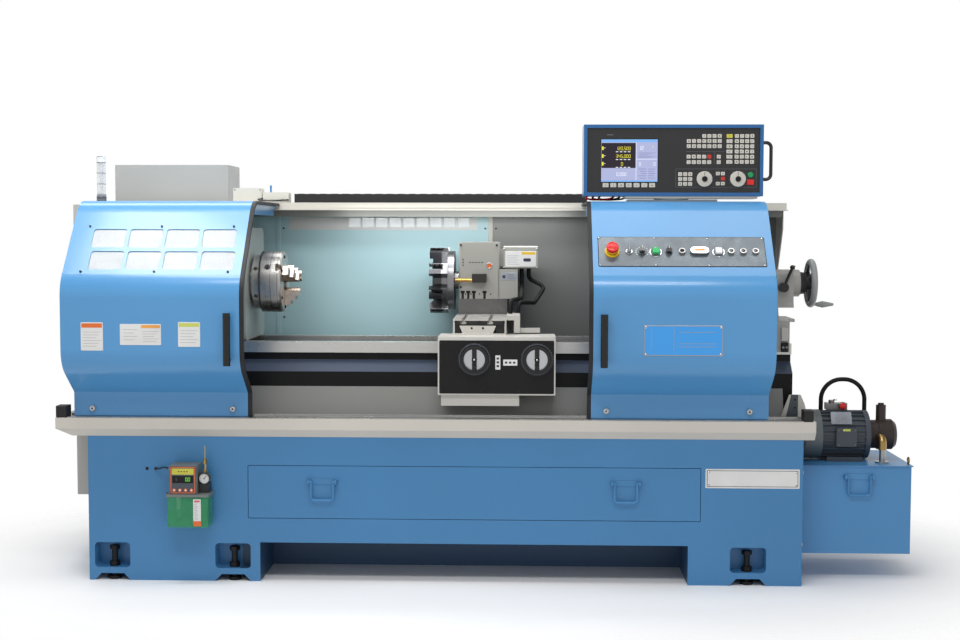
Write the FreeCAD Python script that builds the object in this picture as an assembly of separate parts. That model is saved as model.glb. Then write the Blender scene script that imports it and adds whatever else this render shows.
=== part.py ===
import FreeCAD, Part
import math
import os
from FreeCAD import Vector

# Flat-bed turning lathe with sliding guards. Millimetres. +X runs along the bed from headstock to
# tailstock, +Y to the rear, +Z up. The working frame has X = 0 at the base's left end, Y = 0 at the
# base's front and Z = 0 at the floor; at the end the whole machine is centred over the origin.

# ---- Fits and sheets ----
clear = 0.3            # gap between pieces that slide or turn past each other
fit = 0.05             # radial running clearance of a pin or shaft
sheet = 4.0            # guard and tray sheet
thin = 2.5             # cabinet and drawer sheet
plate = 8.0            # base cabinet plate

# ---- Base ----
base_len = 2814.0
base_depth = 800.0
base_h = 577.0
kick_left = 683.0
kick_right_end = 444.0     # from the kick space to the base's right end
kick_h = 156.0
kick_depth = 300.0
pocket_w = 141.0
pocket_h = 100.0
pocket_z = 51.0
pocket_deep = 70.0
foot_notch_h = 27.0
foot_screw_r = 12.0

# ---- Chip drawer ----
drawer_left = 638.0
drawer_right_end = 398.0
drawer_z = 254.0
drawer_h = 208.0
drawer_deep = 620.0
bail_w = 100.0
bail_drop = 74.0
bail_wire_r = 5.0

# ---- Tray and door track ----
tray_left_over = 120.0
tray_right_over = 43.0
tray_front_over = 25.0
tray_back_over = 80.0
tray_lip_h = 43.0
tray_top = 651.0
track_z = 662.0            # top of the ridge that the door rollers run on
track_y = 47.0

# ---- Sliding guards (profile in Y and Z, from the skirt to the top edge) ----
door_w = 709.0
door_left_x = -59.0
door_gap = 1322.0          # opening between the two guards
skirt_y = 25.0
skirt_top = 748.5
front_y = -133.0
bulge_low = 867.0
bulge_top = 1181.0
brow_y = 134.0
door_top = 1507.5
door_rear = 686.0
low_bend_r = 120.0
mid_bend_r = 140.0
top_bend_r = 130.0
seal_t = 16.0
seal_deep = 12.0
end_flange = 24.0
lip_flange = 55.0         # the deeper flange along the opening edge
roller_r = 22.0

# ---- Spindle, chuck ----
axis_y = 400.0
axis_z = 1175.0
spindle_r = 60.0
spindle_bore_r = 40.0
spindle_tail = -100.0
nose_x = 594.0
adapter_r = 113.0
chuck_x = 631.0
chuck_len = 90.0
chuck_r = 126.5
jaw_w = 40.0

# ---- Bed ----
way_z = 938.0
way_front = 205.0
way_back = 595.0
way_w = 48.0
bed_left = 20.0
bed_right_end = 14.0
bed_foot_front = 175.0

# ---- Carriage ----
carriage_x = 1384.0
apron_w = 465.0
apron_z = 740.0
apron_h = 230.0
apron_y = 55.0
saddle_top = 974.0
wheel_r = 55.0
slide_x = 1436.0
slide_w = 217.0
slide_top = 1031.0
slide_front = 208.0
slide_back = 760.0

# ---- Turret ----
disc_y = 650.0
disc_z = 1174.5
disc_r = 128.0
disc_x = 1396.0
disc_t = 27.0
holder_r = 142.5
holder_len = 79.0
turret_x = 1442.0
turret_w = 176.0
turret_y = 560.0
turret_deep = 200.0
turret_z = 1098.0
turret_top = 1341.0

# ---- Tailstock ----
tail_right_end = 14.0      # tailstock body beyond the base's right end
tail_len = 440.0
quill_r = 45.0
tail_wheel_r = 101.0

# ---- Control head ----
hmi_out = 11.0             # the head reaches past the right guard's left edge
hmi_w = 716.0
hmi_z = 1529.0
hmi_h = 285.0
hmi_y = 200.0
hmi_deep = 160.0
panel_s = 186.0            # control panel: from the brow corner down the slope
panel_h = 142.0
panel_in = 39.0            # from the right guard's left edge to the panel
panel_w = 638.0

# ---- Rear parts ----
guard_behind = 50.0        # rear guard behind the base
beam_z = 1478.0
beam_top = 1512.0
cabinet_x = -138.0
cabinet_w = 518.0
cabinet_gap = 51.0         # from the rear guard to the cabinet
cabinet_deep = 244.0
cabinet_z = 560.0
cabinet_top = 1686.0
cover_y = 280.0
cover_x = -172.0
cover_top = 1494.0
cover_z = 290.0

# ---- Coolant tank and pump ----
tank_w = 452.0
tank_y = 123.0
tank_deep = 407.0
tank_z = 105.0
tank_h = 350.0
motor_r = 100.0
motor_core = 175.0
lid_t = 4.0
motor_lift = 2.0           # the motor's lowest point above the tank's lid
motor_y = 300.0

# ---- Places that follow from the sizes above ----
right_door_x = door_left_x + door_w + door_gap
hmi_x = right_door_x - hmi_out
panel_x = right_door_x + panel_in
guard_y = base_depth + guard_behind
cabinet_y = guard_y + cabinet_gap
lid_z = tank_z + tank_h
motor_z = lid_z + lid_t + motor_lift + motor_r
beam_y = door_rear + 6.0
kick_right = base_len - kick_right_end
drawer_right = base_len - drawer_right_end
pocket_xs = (93.0, 574.5, base_len - 209.0)
tray_left = -tray_left_over
tray_right = base_len + tray_right_over
tray_back = base_depth + tray_back_over
tray_low = tray_top - tray_lip_h
bed_right = base_len - bed_right_end
tail_x = base_len + tail_right_end - tail_len
chip_left = 720.0
chip_right = base_len - 474.0
chip_front = 200.0
chip_back = 600.0
brow = Vector(0, brow_y, door_top)
bulge = Vector(0, front_y, bulge_top)
slope = (bulge - brow).normalize()
slope_out = Vector(0, slope.z, -slope.y)


def box(x0, x1, y0, y1, z0, z1):
    return Part.makeBox(x1 - x0, y1 - y0, z1 - z0, Vector(x0, y0, z0))


def rod(start, along, length, radius):
    return Part.makeCylinder(radius, length, Vector(*start), Vector(*along))


def tube(start, along, length, outer, inner):
    return rod(start, along, length, outer).cut(rod(start, along, length, inner))


def cone(start, along, length, r0, r1):
    return Part.makeCone(r0, r1, length, Vector(*start), Vector(*along))


def join(shapes):
    first, rest = shapes[0], list(shapes[1:])
    return first.fuse(rest).removeSplitter() if rest else first


def hexagon(start, along, length, across):
    """A hexagonal prism, such as a nut or a bolt's head, across flats."""
    centre = Vector(*start)
    out = Vector(*along)
    side = Vector(0, 0, 1).cross(out) if abs(out.z) < 0.9 else Vector(1, 0, 0)
    up = out.cross(side)
    corner = across / math.sqrt(3)
    points = [centre + side * (corner * math.cos(a)) + up * (corner * math.sin(a))
              for a in [math.radians(60 * i) for i in range(7)]]
    return Part.Face(Part.makePolygon(points)).extrude(out * length)


def outline(points, radii, place):
    """A closed face through the points, each corner rounded by its radius, put in space by place."""
    flat = [Vector(p[0], p[1], 0) for p in points]
    count = len(flat)
    ends = []
    for i, here in enumerate(flat):
        r = radii[i]
        before = (flat[i - 1] - here).normalize()
        after = (flat[(i + 1) % count] - here).normalize()
        if r <= 0:
            ends.append((here, None, here))
            continue
        half = before.getAngle(after) / 2
        reach = r / math.tan(half)
        middle = (before + after).normalize()
        bow = here + middle * (r / math.sin(half) - r)
        ends.append((here + before * reach, bow, here + after * reach))
    edges = []
    for i, (start, bow, end) in enumerate(ends):
        if bow is not None:
            edges.append(Part.Arc(place(start), place(bow), place(end)).toShape())
        follow = ends[(i + 1) % count][0]
        if (follow - end).Length > 1e-6:
            edges.append(Part.LineSegment(place(end), place(follow)).toShape())
    return Part.Face(Part.Wire(edges))


def in_yz(x):
    return lambda p: Vector(x, p.x, p.y)


def in_xz(y):
    return lambda p: Vector(p.x, y, p.y)


def in_xy(z):
    return lambda p: Vector(p.x, p.y, z)


def bar_x(points, x0, x1, radii=None):
    """A bar along X whose section is given in Y and Z."""
    face = outline(points, radii or [0] * len(points), in_yz(x0))
    return face.extrude(Vector(x1 - x0, 0, 0))


def bar_y(points, y0, y1, radii=None):
    face = outline(points, radii or [0] * len(points), in_xz(y0))
    return face.extrude(Vector(0, y1 - y0, 0))


def rounded_box(x0, x1, y0, y1, z0, z1, r, along="y"):
    """A block whose four edges along one axis are rounded."""
    if along == "y":
        return bar_y([(x0, z0), (x1, z0), (x1, z1), (x0, z1)], y0, y1, [r] * 4)
    if along == "x":
        return bar_x([(y0, z0), (y1, z0), (y1, z1), (y0, z1)], x0, x1, [r] * 4)
    corners = [(x0, y0), (x1, y0), (x1, y1), (x0, y1)]
    return outline(corners, [r] * 4, in_xy(z0)).extrude(Vector(0, 0, z1 - z0))


def folded(path, radii, depth):
    """Points and radii of the section of a bent strip: the path, and the same path set in by depth."""
    flat = [Vector(p[0], p[1], 0) for p in path]
    heads = [(b - a).normalize() for a, b in zip(flat, flat[1:])]
    sides = [Vector(h.y, -h.x, 0) for h in heads]
    inner = [flat[0] + sides[0] * depth]
    inner_radii = [0]
    for i in range(1, len(flat) - 1):
        both = (sides[i - 1] + sides[i]).normalize()
        inner.append(flat[i] + both * (depth / both.dot(sides[i])))
        turn = heads[i - 1].cross(heads[i]).z
        inner_radii.append(radii[i] - depth if turn < 0 else radii[i] + depth)
    inner.append(flat[-1] + sides[-1] * depth)
    inner_radii.append(0)
    points = [(p.x, p.y) for p in flat] + [(p.x, p.y) for p in reversed(inner)]
    return points, list(radii) + list(reversed(inner_radii))


def pipe(points, radius, bend):
    """A round tube along straight runs joined by arcs of one bend radius."""
    flat = [Vector(*p) for p in points]
    edges = []
    start = flat[0]
    for before, here, after in zip(flat, flat[1:], flat[2:]):
        back = (before - here).normalize()
        on = (after - here).normalize()
        half = back.getAngle(on) / 2
        reach = bend / math.tan(half)
        bow = here + (back + on).normalize() * (bend / math.sin(half) - bend)
        edges.append(Part.LineSegment(start, here + back * reach).toShape())
        edges.append(Part.Arc(here + back * reach, bow, here + on * reach).toShape())
        start = here + on * reach
    edges.append(Part.LineSegment(start, flat[-1]).toShape())
    path = Part.Wire(edges)
    ring = Part.Wire(Part.Circle(flat[0], flat[1] - flat[0], radius).toShape())
    return path.makePipeShell([ring], True, False)


# ---- Base cabinet, levelling screws, chip drawer ----

pocket_wall = 6.0
pocket_floor = 20.0
foot_screw_y = pocket_deep / 2
screw_rows = (foot_screw_y, base_depth - foot_screw_y)
deck = base_h - plate
shelf_z = kick_h + plate
runner_top = 300.0 - clear


def foot_pockets(grow):
    """The six recesses around the levelling screws; grown, they are the housings of the recesses."""
    found = []
    for x in pocket_xs:
        for y0, y1 in ((-1 + (grow > 0), pocket_deep + grow),
                       (base_depth - pocket_deep - grow, base_depth + 1 - (grow > 0))):
            low = pocket_z - (pocket_floor if grow else 0)
            found.append(rounded_box(x - pocket_w / 2 - grow, x + pocket_w / 2 + grow, y0, y1,
                                     low, pocket_z + pocket_h + grow, 15.0 if not grow else 4.0))
    return found


def base_cabinet():
    body = box(0, base_len, 0, base_depth, 0, base_h)
    inner_y = (plate, base_depth - plate)
    hollows = [box(kick_left, kick_right, -1, kick_depth, -1, kick_h),
               box(plate, kick_left - plate, *inner_y, -1, kick_h),
               box(kick_right + plate, base_len - plate, *inner_y, -1, kick_h),
               box(kick_left, kick_right, kick_depth + plate, base_depth - plate, -1, kick_h),
               box(plate, drawer_left - 2 * plate, *inner_y, kick_h - 1, deck),
               box(drawer_right + 2 * plate, base_len - plate, *inner_y, kick_h - 1, deck),
               box(drawer_left - plate, drawer_right + plate, *inner_y, shelf_z, deck),
               box(chip_left, chip_right, chip_front, chip_back, deck - 1, base_h + 1),
               box(drawer_left - 2, drawer_right + 2, -1, plate + 1, drawer_z - 2, drawer_z + drawer_h + 2)]
    body = body.cut(hollows)
    runners = [box(drawer_left - plate, drawer_left + 22, 20, drawer_deep + 30, runner_top - 6, runner_top),
               box(drawer_right - 22, drawer_right + plate, 20, drawer_deep + 30, runner_top - 6, runner_top)]
    body = body.fuse(foot_pockets(pocket_wall) + runners)
    holes = foot_pockets(0)
    for x in pocket_xs:
        for y in screw_rows:
            holes.append(rod((x, y, 0), (0, 0, 1), pocket_z + 1, foot_screw_r + 1))
        for y0 in (-1, base_depth - plate - 1):
            half = pocket_w / 2 + 2
            holes.append(bar_y([(x - half, -1), (x + half, -1), (x + half - foot_notch_h, foot_notch_h),
                                (x - half + foot_notch_h, foot_notch_h)], y0, y0 + plate + 2))
    holes.append(rod((-1, motor_shaft_y, motor_shaft_z), (1, 0, 0), plate + 2, motor_shaft_r + 8))
    return body.cut(holes).removeSplitter()


def levelling_screws():
    found = []
    for x in pocket_xs:
        for y in screw_rows:
            screw = join([rod((x, y, 0), (0, 0, 1), 12, 25), rod((x, y, 12), (0, 0, 1), 108, foot_screw_r),
                          hexagon((x, y, 118), (0, 0, 1), 15, 36)])
            nut = hexagon((x, y, pocket_z), (0, 0, 1), 19, 36)
            found += [screw, nut.cut(rod((x, y, pocket_z - 1), (0, 0, 1), 21, foot_screw_r + fit))]
    return found


def bail_ears(x, face_y, pivot_z):
    """A back plate with two ears whose holes carry a hanging bail."""
    ear_y = face_y - bail_wire_r - 9
    parts = [box(x - bail_w / 2 - 10, x + bail_w / 2 + 10, face_y - 2, face_y, pivot_z - 12, pivot_z + 12)]
    for side in (-1, 1):
        middle = x + side * (bail_w / 2 + 4)
        parts.append(box(middle - 4, middle + 4, ear_y - 8, face_y, pivot_z - 8, pivot_z + 8))
    pin = rod((x - bail_w, ear_y, pivot_z), (1, 0, 0), 2 * bail_w, bail_wire_r + fit)
    return join(parts).cut(pin)


def bail(x, face_y, pivot_z):
    """A U of round wire, hanging from two pins along X."""
    y = face_y - bail_wire_r - 9
    leg = bail_w / 2 - bail_wire_r - 1
    corner = 15.0
    bottom = pivot_z - bail_drop
    loop = pipe([(x - leg, y, pivot_z), (x - leg, y, bottom), (x + leg, y, bottom), (x + leg, y, pivot_z)],
                bail_wire_r, corner)
    knees = [Part.makeSphere(bail_wire_r, Vector(x + side * leg, y, pivot_z)) for side in (-1, 1)]
    pins = [rod((x - bail_w / 2 - 8, y, pivot_z), (1, 0, 0), bail_w / 2 + 8 - leg, bail_wire_r),
            rod((x + leg, y, pivot_z), (1, 0, 0), bail_w / 2 + 8 - leg, bail_wire_r)]
    return join([loop] + knees + pins)


drawer_bails = (932.0, base_len - 689.0)
drawer_pivot = drawer_z + drawer_h - 60.0
tank_pivot = tank_z + tank_h - 40.0
tank_bail_x = base_len + 245.0


def chip_drawer():
    front = box(drawer_left, drawer_right, 0, 3, drawer_z, drawer_z + drawer_h)
    x0, x1 = drawer_left + 26, drawer_right - 26
    bin_box = box(x0, x1, 3, drawer_deep, drawer_z + 22, drawer_z + drawer_h - 22)
    bin_box = bin_box.cut(box(x0 + thin, x1 - thin, 3 + thin, drawer_deep - thin,
                              drawer_z + 22 + thin, drawer_z + drawer_h))
    ledges = [box(drawer_left + 6, x0 + 1, 3, drawer_deep, 300, 303),
              box(x1 - 1, drawer_right - 6, 3, drawer_deep, 300, 303)]
    ears = [bail_ears(x, 0, drawer_pivot) for x in drawer_bails]
    return join([front, bin_box] + ledges + ears)


# ---- Chip tray, door track ----

def chip_tray():
    """The tray with a boxed-in rim, a chip opening and slopes up to the bed."""
    front = -tray_front_over
    body = box(tray_left, tray_right, front, tray_back, base_h, tray_top)
    slope_x = 60.0
    below = base_h - 1
    under_front = [(front - 1, below), (0, below), (0, base_h), (front, tray_low), (front - 1, tray_low)]
    under_left = [(tray_left - 1, below), (tray_left + slope_x, below), (tray_left + slope_x, base_h),
                  (tray_left, tray_low), (tray_left - 1, tray_low)]
    wedges = [bar_x(under_front, tray_left - 1, tray_right + 1),
              bar_y(under_left, front - 1, tray_back + 1)]
    floor = base_h + 6
    rim_in = 85.0
    hollow = box(tray_left + slope_x, tray_right - sheet, 1, tray_back - sheet, floor, tray_top - sheet)
    upper = box(tray_left + sheet, tray_right - sheet, front + sheet, tray_back - sheet,
                tray_low + 5, tray_top - sheet)
    mouth = box(tray_left + slope_x, bed_right + 6, rim_in, tray_back - 60, floor, tray_top + 1)
    chips = box(chip_left, chip_right, chip_front, chip_back, base_h - 1, floor + 1)
    notch = box(tray_left - 1, 1, cover_y - 4, base_depth + 4, base_h - 1, tray_top + 1)
    body = body.cut(wedges + [hollow, upper, mouth, chips, notch])
    slopes = [bar_x([(bed_foot_front - 60, floor), (bed_foot_front - 55, floor),
                     (bed_foot_front - 1, 760), (bed_foot_front - 6, 760)], bed_left + 40, bed_right - 40)]
    wall = box(1, 1 + sheet, cover_y - 8, base_depth + 8, base_h, tray_top)
    return join([body, wall] + slopes)


def door_rail():
    """The lower door track with its ridge, and the two rubber stops beyond its ends."""
    stop = 42.0
    x0, x1 = tray_left + 2 + stop, tray_right - 10 - stop + 5
    track = join([box(x0, x1, -16, 70, tray_top, tray_top + 3),
                  box(x0, x1, track_y - 3, track_y + 3, tray_top, track_z)])
    stops = [rounded_box(x0 - stop, x0 - 1, -22, 40, tray_top, tray_top + 46, 5.0, "x"),
             rounded_box(x1 + 1, x1 + stop - 5, -22, 40, tray_top, tray_top + 44, 5.0, "x")]
    return [track] + stops


# ---- Sliding guards ----

door_path = [(skirt_y, tray_top - 1 + 5), (skirt_y, skirt_top), (front_y, bulge_low), (front_y, bulge_top),
             (brow_y, door_top), (door_rear, door_top), (door_rear, door_top - 22)]
door_radii = [0, 10.0, low_bend_r, mid_bend_r, top_bend_r, 6.0, 0]
roller_z = track_z + clear + roller_r
roller_inset = 75.0


def on_slope(x, s, out=0.0):
    """A point on the guard's slanted face: s down from the brow, out from the sheet's outer face."""
    return Vector(x, brow.y + slope.y * s + slope_out.y * out, brow.z + slope.z * s + slope_out.z * out)


def slope_block(x0, x1, s0, s1, out0, out1, r=0.0):
    """A block lying on the slanted face."""
    corners = [(x0, s0), (x1, s0), (x1, s1), (x0, s1)]
    face = outline(corners, [r] * 4, lambda p: on_slope(p.x, p.y, out0))
    away = on_slope(0, 0, out1) - on_slope(0, 0, out0)
    return face.extrude(away)


def slope_rod(x, s, out0, length, radius):
    start = on_slope(x, s, out0)
    return Part.makeCylinder(radius, length, start, slope_out)


def track_room(x0, x1):
    """Room over the track's ridge, taken out of what the guard has behind its skirt."""
    return box(x0 - 1, x1 + 1, skirt_y + sheet, 100, 600, track_z + 3)


def door_shell(x0, seal_at_right, flange_limit):
    """A bent sheet guard with a return flange at each end."""
    points, radii = folded(door_path, door_radii, sheet)
    x_low = x0 if seal_at_right else x0 + seal_t
    x_high = x0 + door_w - (seal_t if seal_at_right else 0)
    shell = bar_x(points, x_low, x_high, radii)
    deep, deep_radii = folded(door_path[:6], door_radii[:5] + [0], end_flange)
    left = bar_x(deep, x_low, x_low + sheet, deep_radii)
    right = bar_x(deep, x_high - sheet, x_high, deep_radii)
    if flange_limit is not None:
        left = left.cut(box(x_low - 1, x_low + sheet + 1, flange_limit, 1000, 0, 3000))
        shell = shell.cut(box(x_low - 1, 8, door_rear - 20, door_rear + 1, 0, door_top - sheet))
    lip_path = [(front_y, bulge_low + 30), (front_y, bulge_top), (brow_y, door_top),
                (door_rear - 60, door_top)]
    lip, lip_radii = folded(lip_path, [0, mid_bend_r, top_bend_r, 0], lip_flange)
    x_lip = x_high - sheet if seal_at_right else x_low
    lip = bar_x(lip, x_lip, x_lip + sheet, lip_radii)
    shell = join([shell, left, right, lip]).cut(track_room(x_low, x_high))
    holes = [rod((x, 0, roller_z), (0, 1, 0), 60, 6 + fit) for x in roller_xs(x0)]
    return shell.cut(holes)


def roller_xs(x0):
    return (x0 + roller_inset, x0 + door_w - roller_inset)


window_s = ((148.0, 240.0), (259.0, 349.0))
window_count = 4
window_web = 14.0          # sheet left between two windows
window_in = 87.0           # from the guard's left edge to the first window
window_out = 42.0          # from the last pitch to the guard's right edge
window_pitch = (door_w - window_in - window_out) / window_count
row_shift = 8.0


def window_holes():
    found = []
    for row, (s0, s1) in enumerate(window_s):
        for i in range(window_count):
            x0 = door_left_x + window_in + row * row_shift + i * window_pitch
            found.append(slope_block(x0, x0 + window_pitch - window_web, s0, s1, -sheet - 1, 1, 12.0))
    return found


def left_door():
    return door_shell(door_left_x, True, cover_y - 20).cut(window_holes())


def left_door_windows():
    x0 = door_left_x + window_in - 23
    x1 = door_left_x + door_w - window_out + row_shift + 4
    return slope_block(x0, x1, 128, 368, -2 * sheet, -sheet, 10.0)


def right_door():
    shell = door_shell(right_door_x, False, None)
    cut = slope_block(panel_x + 20, panel_x + panel_w - 20, panel_s + 15, panel_s + panel_h - 15,
                      -sheet - 1, 1)
    return shell.cut(cut)


def door_trim(x0, seal_at_right, handle_x):
    """The rubber edge seal and the tubular pull handle of one guard."""
    points, radii = folded(door_path[:6], door_radii[:5] + [0], seal_deep)
    x_seal = x0 + door_w - seal_t if seal_at_right else x0
    seal = bar_x(points, x_seal, x_seal + seal_t, radii).cut(track_room(x_seal, x_seal + seal_t))
    y = front_y - 35
    low, high = 884.0, 1062.0
    grip = join([rod((handle_x, y, low - 12), (0, 0, 1), high - low + 24, 14),
                 rod((handle_x, y, low + 8), (0, 1, 0), 35, 9),
                 rod((handle_x, y, high - 8), (0, 1, 0), 35, 9)])
    return [seal, grip]


def door_rollers(x0):
    """Track rollers on their axle bolts at the foot, and guide rollers at the top rear edge."""
    found = []
    for x in roller_xs(x0):
        axle = join([rod((x, skirt_y - 9, roller_z), (0, 1, 0), 9, 11),
                     rod((x, skirt_y - 1, roller_z), (0, 1, 0), 32, 6)])
        wheel = tube((x, track_y - 5, roller_z), (0, 1, 0), 10, roller_r, 6 + fit)
        pin_z = beam_z + sheet + clear + 9
        guide = join([rod((x, door_rear - 12, pin_z), (0, 1, 0), 8, 9),
                      rod((x, door_rear - 30, pin_z), (0, 1, 0), 18, 9)])
        found += [axle, wheel, guide]
    return found


# ---- Control panel and its controls ----

control_s = 259.0
stem = 8.0
from_panel = {"emergency": 52.0, "toggle": 117.0, "rate": 167.0, "green": 219.0, "selector": 270.0,
              "lamp_a": 320.0, "meter": 387.0, "white": 460.0, "lamp_b": 508.0, "lamp_c": 554.0,
              "lamp_d": 601.0}
controls = {name: panel_x + x for name, x in from_panel.items()}
button_stroke = 4.0
emergency_stroke = 6.0


def control_panel():
    face = slope_block(panel_x, panel_x + panel_w, panel_s, panel_s + panel_h, 0, 2.5)
    holes = [slope_rod(controls[name], control_s, -30, 40, stem + fit)
             for name in ("emergency", "rate", "green", "selector", "white")]
    parts = [face.cut(holes)]
    for name, r in (("emergency", 26.0), ("rate", 17.0), ("selector", 15.0)):
        ring = slope_rod(controls[name], control_s, 2.5, 4, r)
        parts.append(ring.cut(slope_rod(controls[name], control_s, 0, 10, stem + fit)))
    for name in ("green", "white"):
        x = controls[name]
        frame = slope_block(x - 17, x + 17, control_s - 17, control_s + 17, 2.5, 8, 3.0)
        well = slope_block(x - 13.5, x + 13.5, control_s - 13.5, control_s + 13.5, 2.5, 9, 2.0)
        parts.append(frame.cut(well))
    for name in ("lamp_a", "lamp_b", "lamp_c", "lamp_d"):
        parts.append(slope_rod(controls[name], control_s, 2.5, 9, 11))
    x = controls["meter"]
    parts.append(slope_block(x - 36, x + 36, control_s - 15, control_s + 15, 2.5, 14, 12.0))
    x = controls["toggle"]
    parts.append(slope_rod(x, control_s, 2.5, 10, 9))
    return join(parts)


def emergency_button():
    x = controls["emergency"]
    return join([slope_rod(x, control_s, -15, 26 + emergency_stroke, stem),
                 slope_rod(x, control_s, 7 + emergency_stroke, 8, 14),
                 slope_rod(x, control_s, 15 + emergency_stroke, 16, 22)])


def square_button(name):
    x = controls[name]
    cap = slope_block(x - 12.5, x + 12.5, control_s - 12.5, control_s + 12.5, 3 + button_stroke,
                      12 + button_stroke, 2.0)
    return join([slope_rod(x, control_s, -15, 19 + button_stroke, stem), cap])


def turning_knob(name, radius, height):
    x = controls[name]
    lever = slope_block(x - 4, x + 4, control_s - radius - 4, control_s + radius, 7, 7 + height + 6, 2.0)
    return join([slope_rod(x, control_s, -15, 23, stem), slope_rod(x, control_s, 6.9, height, radius),
                 lever])


# ---- Control head on its turntable ----

hmi_mid = hmi_x + hmi_w / 2
knob_xs = (hmi_x + 482.0, hmi_x + 615.0)
knob_z = hmi_z + 68.0
bezel = 14.0
hmi_pivot_y = hmi_y + hmi_deep / 2


def hmi_turntable():
    return [rounded_box(hmi_mid - 180, hmi_mid + 180, hmi_pivot_y - 60, hmi_pivot_y + 60,
                        door_top, door_top + 8, 10.0, "z"),
            rod((hmi_mid, hmi_pivot_y, door_top + 8), (0, 0, 1), 4, 70)]


def hmi_case():
    """The control head: a box with a recessed face carrying its screen and keys."""
    x0, x1 = hmi_x, hmi_x + hmi_w
    body = box(x0, x1, hmi_y, hmi_y + hmi_deep, hmi_z, hmi_z + hmi_h)
    body = body.cut([box(x0 + bezel, x1 - bezel, hmi_y - 1, hmi_y + 8, hmi_z + bezel, hmi_z + hmi_h - bezel),
                     box(x0 + 3, x1 - 3, hmi_y + 11, hmi_y + hmi_deep - 3, hmi_z + 3, hmi_z + hmi_h - 3)])
    foot = rounded_box(x0 + 165, x1 - 20, hmi_y + 6, hmi_y + hmi_deep - 6,
                       door_top + 12 + clear, hmi_z, 8.0, "z")
    holes = [rod((x, hmi_y, knob_z), (0, 1, 0), 20, 4 + fit) for x in knob_xs]
    return join([body, foot]).cut(holes)


def override_knob(x):
    return join([rod((x, hmi_y - 7, knob_z), (0, 1, 0), 15 - clear, 30),
                 rod((x, hmi_y - 12, knob_z), (0, 1, 0), 6, 10),
                 rod((x, hmi_y + 6, knob_z), (0, 1, 0), 12, 4)])


def hmi_handle():
    """A strap handle on the control head's right side."""
    x = hmi_x + hmi_w
    y = hmi_y + 40
    return pipe([(x, y, hmi_z + 68), (x + 36, y, hmi_z + 68), (x + 36, y, hmi_z + 215), (x, y, hmi_z + 215)],
                7.0, 20.0)


# ---- Bed, headstock, spindle ----

def bed():
    """Two ground ways on walls joined by ribs, with sloped flanks and a wide foot."""
    under = way_z - 44
    inner = way_front + way_w
    front = [(bed_foot_front, base_h + 6), (bed_foot_front, 820), (way_front + 20, 862),
             (way_front + 20, under), (way_front, under), (way_front, way_z), (inner, way_z),
             (inner, under), (inner - 8, under - 14), (inner - 8, 640), (chip_front - 2, base_h + 6)]
    middle = (way_front + way_back) / 2
    back = [(2 * middle - y, z) for y, z in reversed(front)]
    x0, x1 = bed_left, bed_right
    walls = [bar_x(front, x0, x1), bar_x(back, x0, x1)]
    ribs = [box(x, x + 24, way_front + 30, way_back - 30, 660, 870)
            for x in [x0 + i * (x1 - x0 - 24) / 9 for i in range(10)]]
    return join(walls + ribs)


head_x = 0.0
head_len = 588.0
head_front = 222.0
head_back = 640.0
head_top = 1400.0
bearing_w = 50.0
bearing_out = 95.0


def headstock():
    """The headstock casting with bearing bores, and the two spindle bearings in it."""
    body = rounded_box(head_x, head_x + head_len, head_front, head_back, way_z, head_top, 40.0, "x")
    hollow = rounded_box(head_x + 30, head_x + head_len - 60, head_front + 25, head_back - 25,
                         way_z + 25, head_top - 25, 20.0, "x")
    bore = rod((head_x - 1, axis_y, axis_z), (1, 0, 0), head_len + 2, bearing_out)
    feet = box(head_x + 30, head_x + head_len - 30, head_front + 10, head_back - 40, way_z, way_z + 30)
    body = join([body.cut(hollow), feet])
    body = body.cut(bore)
    rings = [tube((x, axis_y, axis_z), (1, 0, 0), bearing_w, bearing_out, spindle_r + fit)
             for x in (head_x, head_x + head_len - bearing_w - 6)]
    return [body] + rings


motor_shaft_y = base_depth - 240.0
motor_shaft_z = 400.0
motor_shaft_r = 19.0
pulley_x = -90.0
pulley_w = 56.0
pulley_r = 105.0
motor_pulley_r = 78.0
belt_t = 8.0


def spindle():
    """The hollow spindle with its nose flange, and the belt pulley on its tail."""
    shaft = join([rod((spindle_tail, axis_y, axis_z), (1, 0, 0), nose_x - spindle_tail, spindle_r),
                  rod((nose_x - 5, axis_y, axis_z), (1, 0, 0), 12, 90)])
    shaft = shaft.cut(rod((spindle_tail - 1, axis_y, axis_z), (1, 0, 0), nose_x - spindle_tail + 30,
                          spindle_bore_r))
    wheel = tube((pulley_x, axis_y, axis_z), (1, 0, 0), pulley_w, pulley_r, spindle_r)
    return [shaft, wheel]


def motor_pulley():
    return join([rod((pulley_x, motor_shaft_y, motor_shaft_z), (1, 0, 0), pulley_w, motor_pulley_r),
                 rod((pulley_x + pulley_w - 1, motor_shaft_y, motor_shaft_z), (1, 0, 0),
                     62 - pulley_x - pulley_w, motor_shaft_r)])


def main_motor():
    start = (plate, motor_shaft_y, motor_shaft_z)
    terminals = box(120, 330, motor_shaft_y - 60, motor_shaft_y + 60, motor_shaft_z + 90, motor_shaft_z + 145)
    body = join([rod(start, (1, 0, 0), 400, 105), rod(start, (1, 0, 0), 16, 130), terminals])
    return body.cut(rod(start, (1, 0, 0), 70, motor_shaft_r + fit))


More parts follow.
